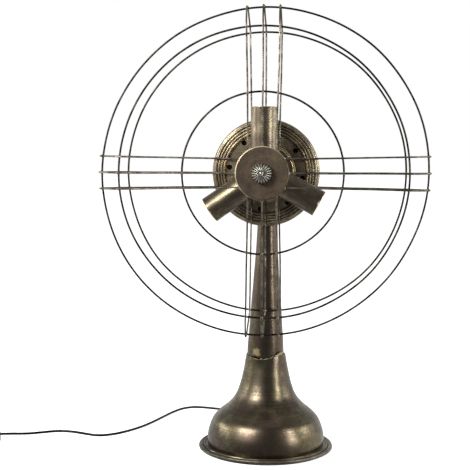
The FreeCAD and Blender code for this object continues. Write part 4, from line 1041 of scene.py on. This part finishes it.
def make_materials():
    """One material for each slot of the record, and a few for single pieces."""
    looks = {
        "aged_brass": (aged_metal, BRASS_TONES, (0.25, 0.40), SPUN_LINES, 16.0, MAUVE),
        # painted light: a lighter copy for the top sleeve and a darker copy for the left and right sleeves
        "aged_sleeve": (aged_metal, TOP_SLEEVE_LIT_COLOURS, (0.29, 0.43), DRAWN_LINES, 30.0, MAUVE),
        "aged_sleeve_low": (aged_metal, SIDE_SLEEVE_SHADED_COLOURS, (0.31, 0.45), DRAWN_LINES, 30.0, MAUVE),
        "aged_cast": (aged_metal, BRASS_TONES, (0.40, 0.55)),
        "aged_foot": (aged_metal, FOOT_TONES, (0.34, 0.50), SPUN_LINES),
        "aged_pan": (aged_metal, PAN_TONES, (0.34, 0.5), NO_LINES, 22.0, MAUVE),
        "pan_shade": (aged_metal, PAINTED_SHADE_TONES, (0.6, 0.8)),
        "cage_ring": (aged_metal, RING_TONES, (0.38, 0.55), NO_LINES, 24.0, None, WIRE_RELIEF),
        "cage_wire": (aged_metal, WIRE_TONES, (0.38, 0.55), NO_LINES, 30.0, None, WIRE_RELIEF),
        "hub_patina": (aged_metal, DISC_TONES, (0.5, 0.6), DISC_LINES),
        "knob_metal": (aged_metal, KNOB_TONES, (0.32, 0.46)),
        "brazing": (aged_metal, SOLDER_TONES, (0.35, 0.5), NO_LINES, 300.0),
        "bright_brass": (plain_metal, (0.62, 0.46, 0.22), 0.3),
        "shell_metal": (plain_metal, (0.75, 0.73, 0.68), 0.28),
        "steel": (plain_metal, (0.50, 0.50, 0.49), 0.35),
        "iron": (moulded, (0.05, 0.048, 0.045), 0.75, 300.0, 0.5),
        "felt": (moulded, (0.015, 0.015, 0.015), 0.95, 1500.0, 0.6),
        "insulator": (moulded, (0.70, 0.67, 0.60), 0.45, 400.0, 0.08),
        "terminal": (moulded, (0.72, 0.70, 0.64), 0.5, 400.0, 0.08),
        "lead_pvc": (moulded, (0.30, 0.11, 0.04), 0.4, 500.0, 0.05),
        "cord_pvc": (moulded, (0.003, 0.003, 0.0035), 0.3, 350.0, 0.04, 0.25),
        "black_plastic": (moulded, (0.012, 0.012, 0.013), 0.38, 900.0, 0.12),
    }
    return {name: make(name, *look) for name, (make, *look) in looks.items()}


def paint(piece, material):
    """Gives a whole piece one material."""
    piece.data.materials.clear()
    piece.data.materials.append(material)


def paint_nodes(materials):
    """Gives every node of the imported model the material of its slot."""
    special = {name: "aged_pan" for name in ("rear_pan", "hub_drum", "rear_housing")}
    # painted shade: the mounting plate behind the vents is coloured near black as the shade there
    special["mounting_plate"] = "pan_shade"
    for row in frame["record"]["subparts"]:
        name = row["node"]
        node = frame["nodes"][name]
        material = materials[special.get(name, row["material_slot"])]
        for slot in node.material_slots:
            slot.material = material


# --- studio ----------------------------------------------------------------------------------------
CAMERA_AT = Vector((101.8, -1639.8, 457.0)) * MM
CAMERA_YAW_DEG, CAMERA_PITCH_DEG, CAMERA_ROLL_DEG = -5.30, -4.02, 0.2
LENS_MM, SENSOR_MM = 79.66, 36.0


def camera():
    """The camera, in front of the lamp, a little to the right and looking slightly down."""
    data = bpy.data.cameras.new("camera")
    data.lens = LENS_MM
    data.sensor_width = SENSOR_MM
    data.clip_start, data.clip_end = 0.05, 60.0
    eye = bpy.data.objects.new("camera", data)
    turn = Matrix.Rotation(math.radians(-CAMERA_YAW_DEG), 4, "Z")
    tilt = Matrix.Rotation(math.radians(90 + CAMERA_PITCH_DEG), 4, "X")
    roll = Matrix.Rotation(math.radians(CAMERA_ROLL_DEG), 4, "Z")
    eye.matrix_world = Matrix.Translation(CAMERA_AT) @ turn @ tilt @ roll
    bpy.context.collection.objects.link(eye)
    bpy.context.scene.camera = eye


def floor():
    """A plain white floor."""
    mesh = bpy.data.meshes.new("floor")
    work = bmesh.new()
    bmesh.ops.create_circle(work, cap_ends=True, segments=96, radius=30.0)
    work.to_mesh(mesh)
    work.free()
    piece = bpy.data.objects.new("floor", mesh)
    bpy.context.collection.objects.link(piece)
    s = Shader("floor")
    s.set(base_color=(0.93, 0.93, 0.93, 1), roughness=0.9, specular_ior_level=0.0)
    s.set(emission_color=(1, 1, 1, 1), emission_strength=0.85)
    paint(piece, s.material)
    piece.visible_glossy = False


def softbox(name, at, aim, width, height, power, tint):
    """A soft rectangular light."""
    data = bpy.data.lights.new(name, "AREA")
    data.shape = "RECTANGLE"
    data.size, data.size_y = width, height
    data.energy = power
    data.color = tint
    lamp = bpy.data.objects.new(name, data)
    lamp.location = at
    lamp.rotation_euler = (Vector(aim) - Vector(at)).to_track_quat("-Z", "Y").to_euler()
    bpy.context.collection.objects.link(lamp)


# place, aim, width, height, power and tint of each light
SOFT_LIGHTS = {
    "key_left": ((-1.16, -1.28, 1.22), (0, 0, 0.25), 1.05, 0.50, 41, (1.0, 0.97, 0.92)),
    "side_left": ((-1.90, 0.15, 0.70), (0, 0, 0.50), 1.2, 0.5, 7, (1.0, 0.98, 0.94)),
    "side_right": ((1.90, 0.25, 0.70), (0, 0, 0.50), 1.0, 0.5, 6, (1.0, 0.98, 0.94)),
    "strip_right": ((1.75, -1.10, 0.85), (0, 0, 0.30), 0.26, 1.3, 17, (1.0, 0.98, 0.93)),
    "top": ((0.0, -0.2, 2.6), (0, 0, 0.2), 2.0, 1.6, 4, (1.0, 1.0, 1.0)),
}


def studio_lights():
    """A key high on the left, a tall strip on the right, a panel at each side and a weak top."""
    for name, look in SOFT_LIGHTS.items():
        softbox(name, *look)


# how bright the room is as the lamp sees it: in front, at the back, and overhead as a share
ROOM_FRONT, ROOM_BACK, ROOM_OVERHEAD = 0.16, 0.85, 0.4


def surroundings():
    """A pale room, white where it is seen directly.

    It lights the lamp from the sides and the back, and less from overhead and the front.
    """
    world = bpy.data.worlds.new("studio")
    bpy.context.scene.world = world
    world.use_nodes = True
    nodes, links = world.node_tree.nodes, world.node_tree.links
    split = nodes.new("ShaderNodeSeparateXYZ")
    links.new(nodes.new("ShaderNodeTexCoord").outputs["Generated"], split.inputs[0])

    def slope(axis, start, end, at_start, at_end):
        """A value that runs from one to another along a part of an axis."""
        ramp = nodes.new("ShaderNodeMapRange")
        ramp.inputs["From Min"].default_value = start
        ramp.inputs["From Max"].default_value = end
        ramp.inputs["To Min"].default_value = at_start
        ramp.inputs["To Max"].default_value = at_end
        links.new(split.outputs[axis], ramp.inputs["Value"])
        return ramp.outputs["Result"]

    dimmed = nodes.new("ShaderNodeMath")
    dimmed.operation = "MULTIPLY"
    links.new(slope("Y", -0.9, 0.3, ROOM_FRONT, ROOM_BACK), dimmed.inputs[0])
    links.new(slope("Z", 0.1, 0.8, 1.0, ROOM_OVERHEAD), dimmed.inputs[1])
    pick = nodes.new("ShaderNodeMix")
    links.new(nodes.new("ShaderNodeLightPath").outputs["Is Camera Ray"], pick.inputs["Factor"])
    links.new(dimmed.outputs[0], pick.inputs[2])
    pick.inputs[3].default_value = 1.0
    back = nodes["Background"]
    links.new(pick.outputs[0], back.inputs["Strength"])
    back.inputs["Color"].default_value = (1, 1, 1, 1)
    bpy.context.scene.view_settings.view_transform = "Standard"


# --- the whole lamp --------------------------------------------------------------------------------
def soften(names, width, segments=2):
    """Rounds the sharp edges of moulded pieces a little."""
    for name in names:
        bevel = frame["nodes"][name].modifiers.new("soft_edges", "BEVEL")
        bevel.width = width
        bevel.segments = segments
        bevel.limit_method = "ANGLE"
        bevel.angle_limit = math.radians(40)


def build():
    """Makes every piece and gives everything its material."""
    materials = make_materials()
    paint_nodes(materials)
    paint(mains_cord(), materials["cord_pvc"])
    for name in RINGS:
        paint(cage_ring(name), materials["cage_ring"])
    for name in ARM_TURNS:
        paint(guard_wires(name), materials["cage_wire"])
    paint(brazed_joints(), materials["brazing"])
    paint(base_bell(), materials["aged_brass"])
    paint(stem(), materials["aged_brass"])
    paint(seam_bead(), materials["brazing"])
    paint(foot_ring(), materials["aged_foot"])
    paint(hub_disc(), materials["hub_patina"])
    paint(boss(), materials["aged_pan"])
    paint(finial_knob(), materials["knob_metal"])
    for name in SLEEVES:
        # painted light: the top sleeve gets the lighter copy and the left and right ones the darker copy
        paint(sleeve(name), materials["aged_sleeve" if name == "top" else "aged_sleeve_low"])
    soften(["switch_base", "switch_cover", "plug_body"], 0.9 * MM, 3)


camera()
build()
floor()
studio_lights()
surroundings()
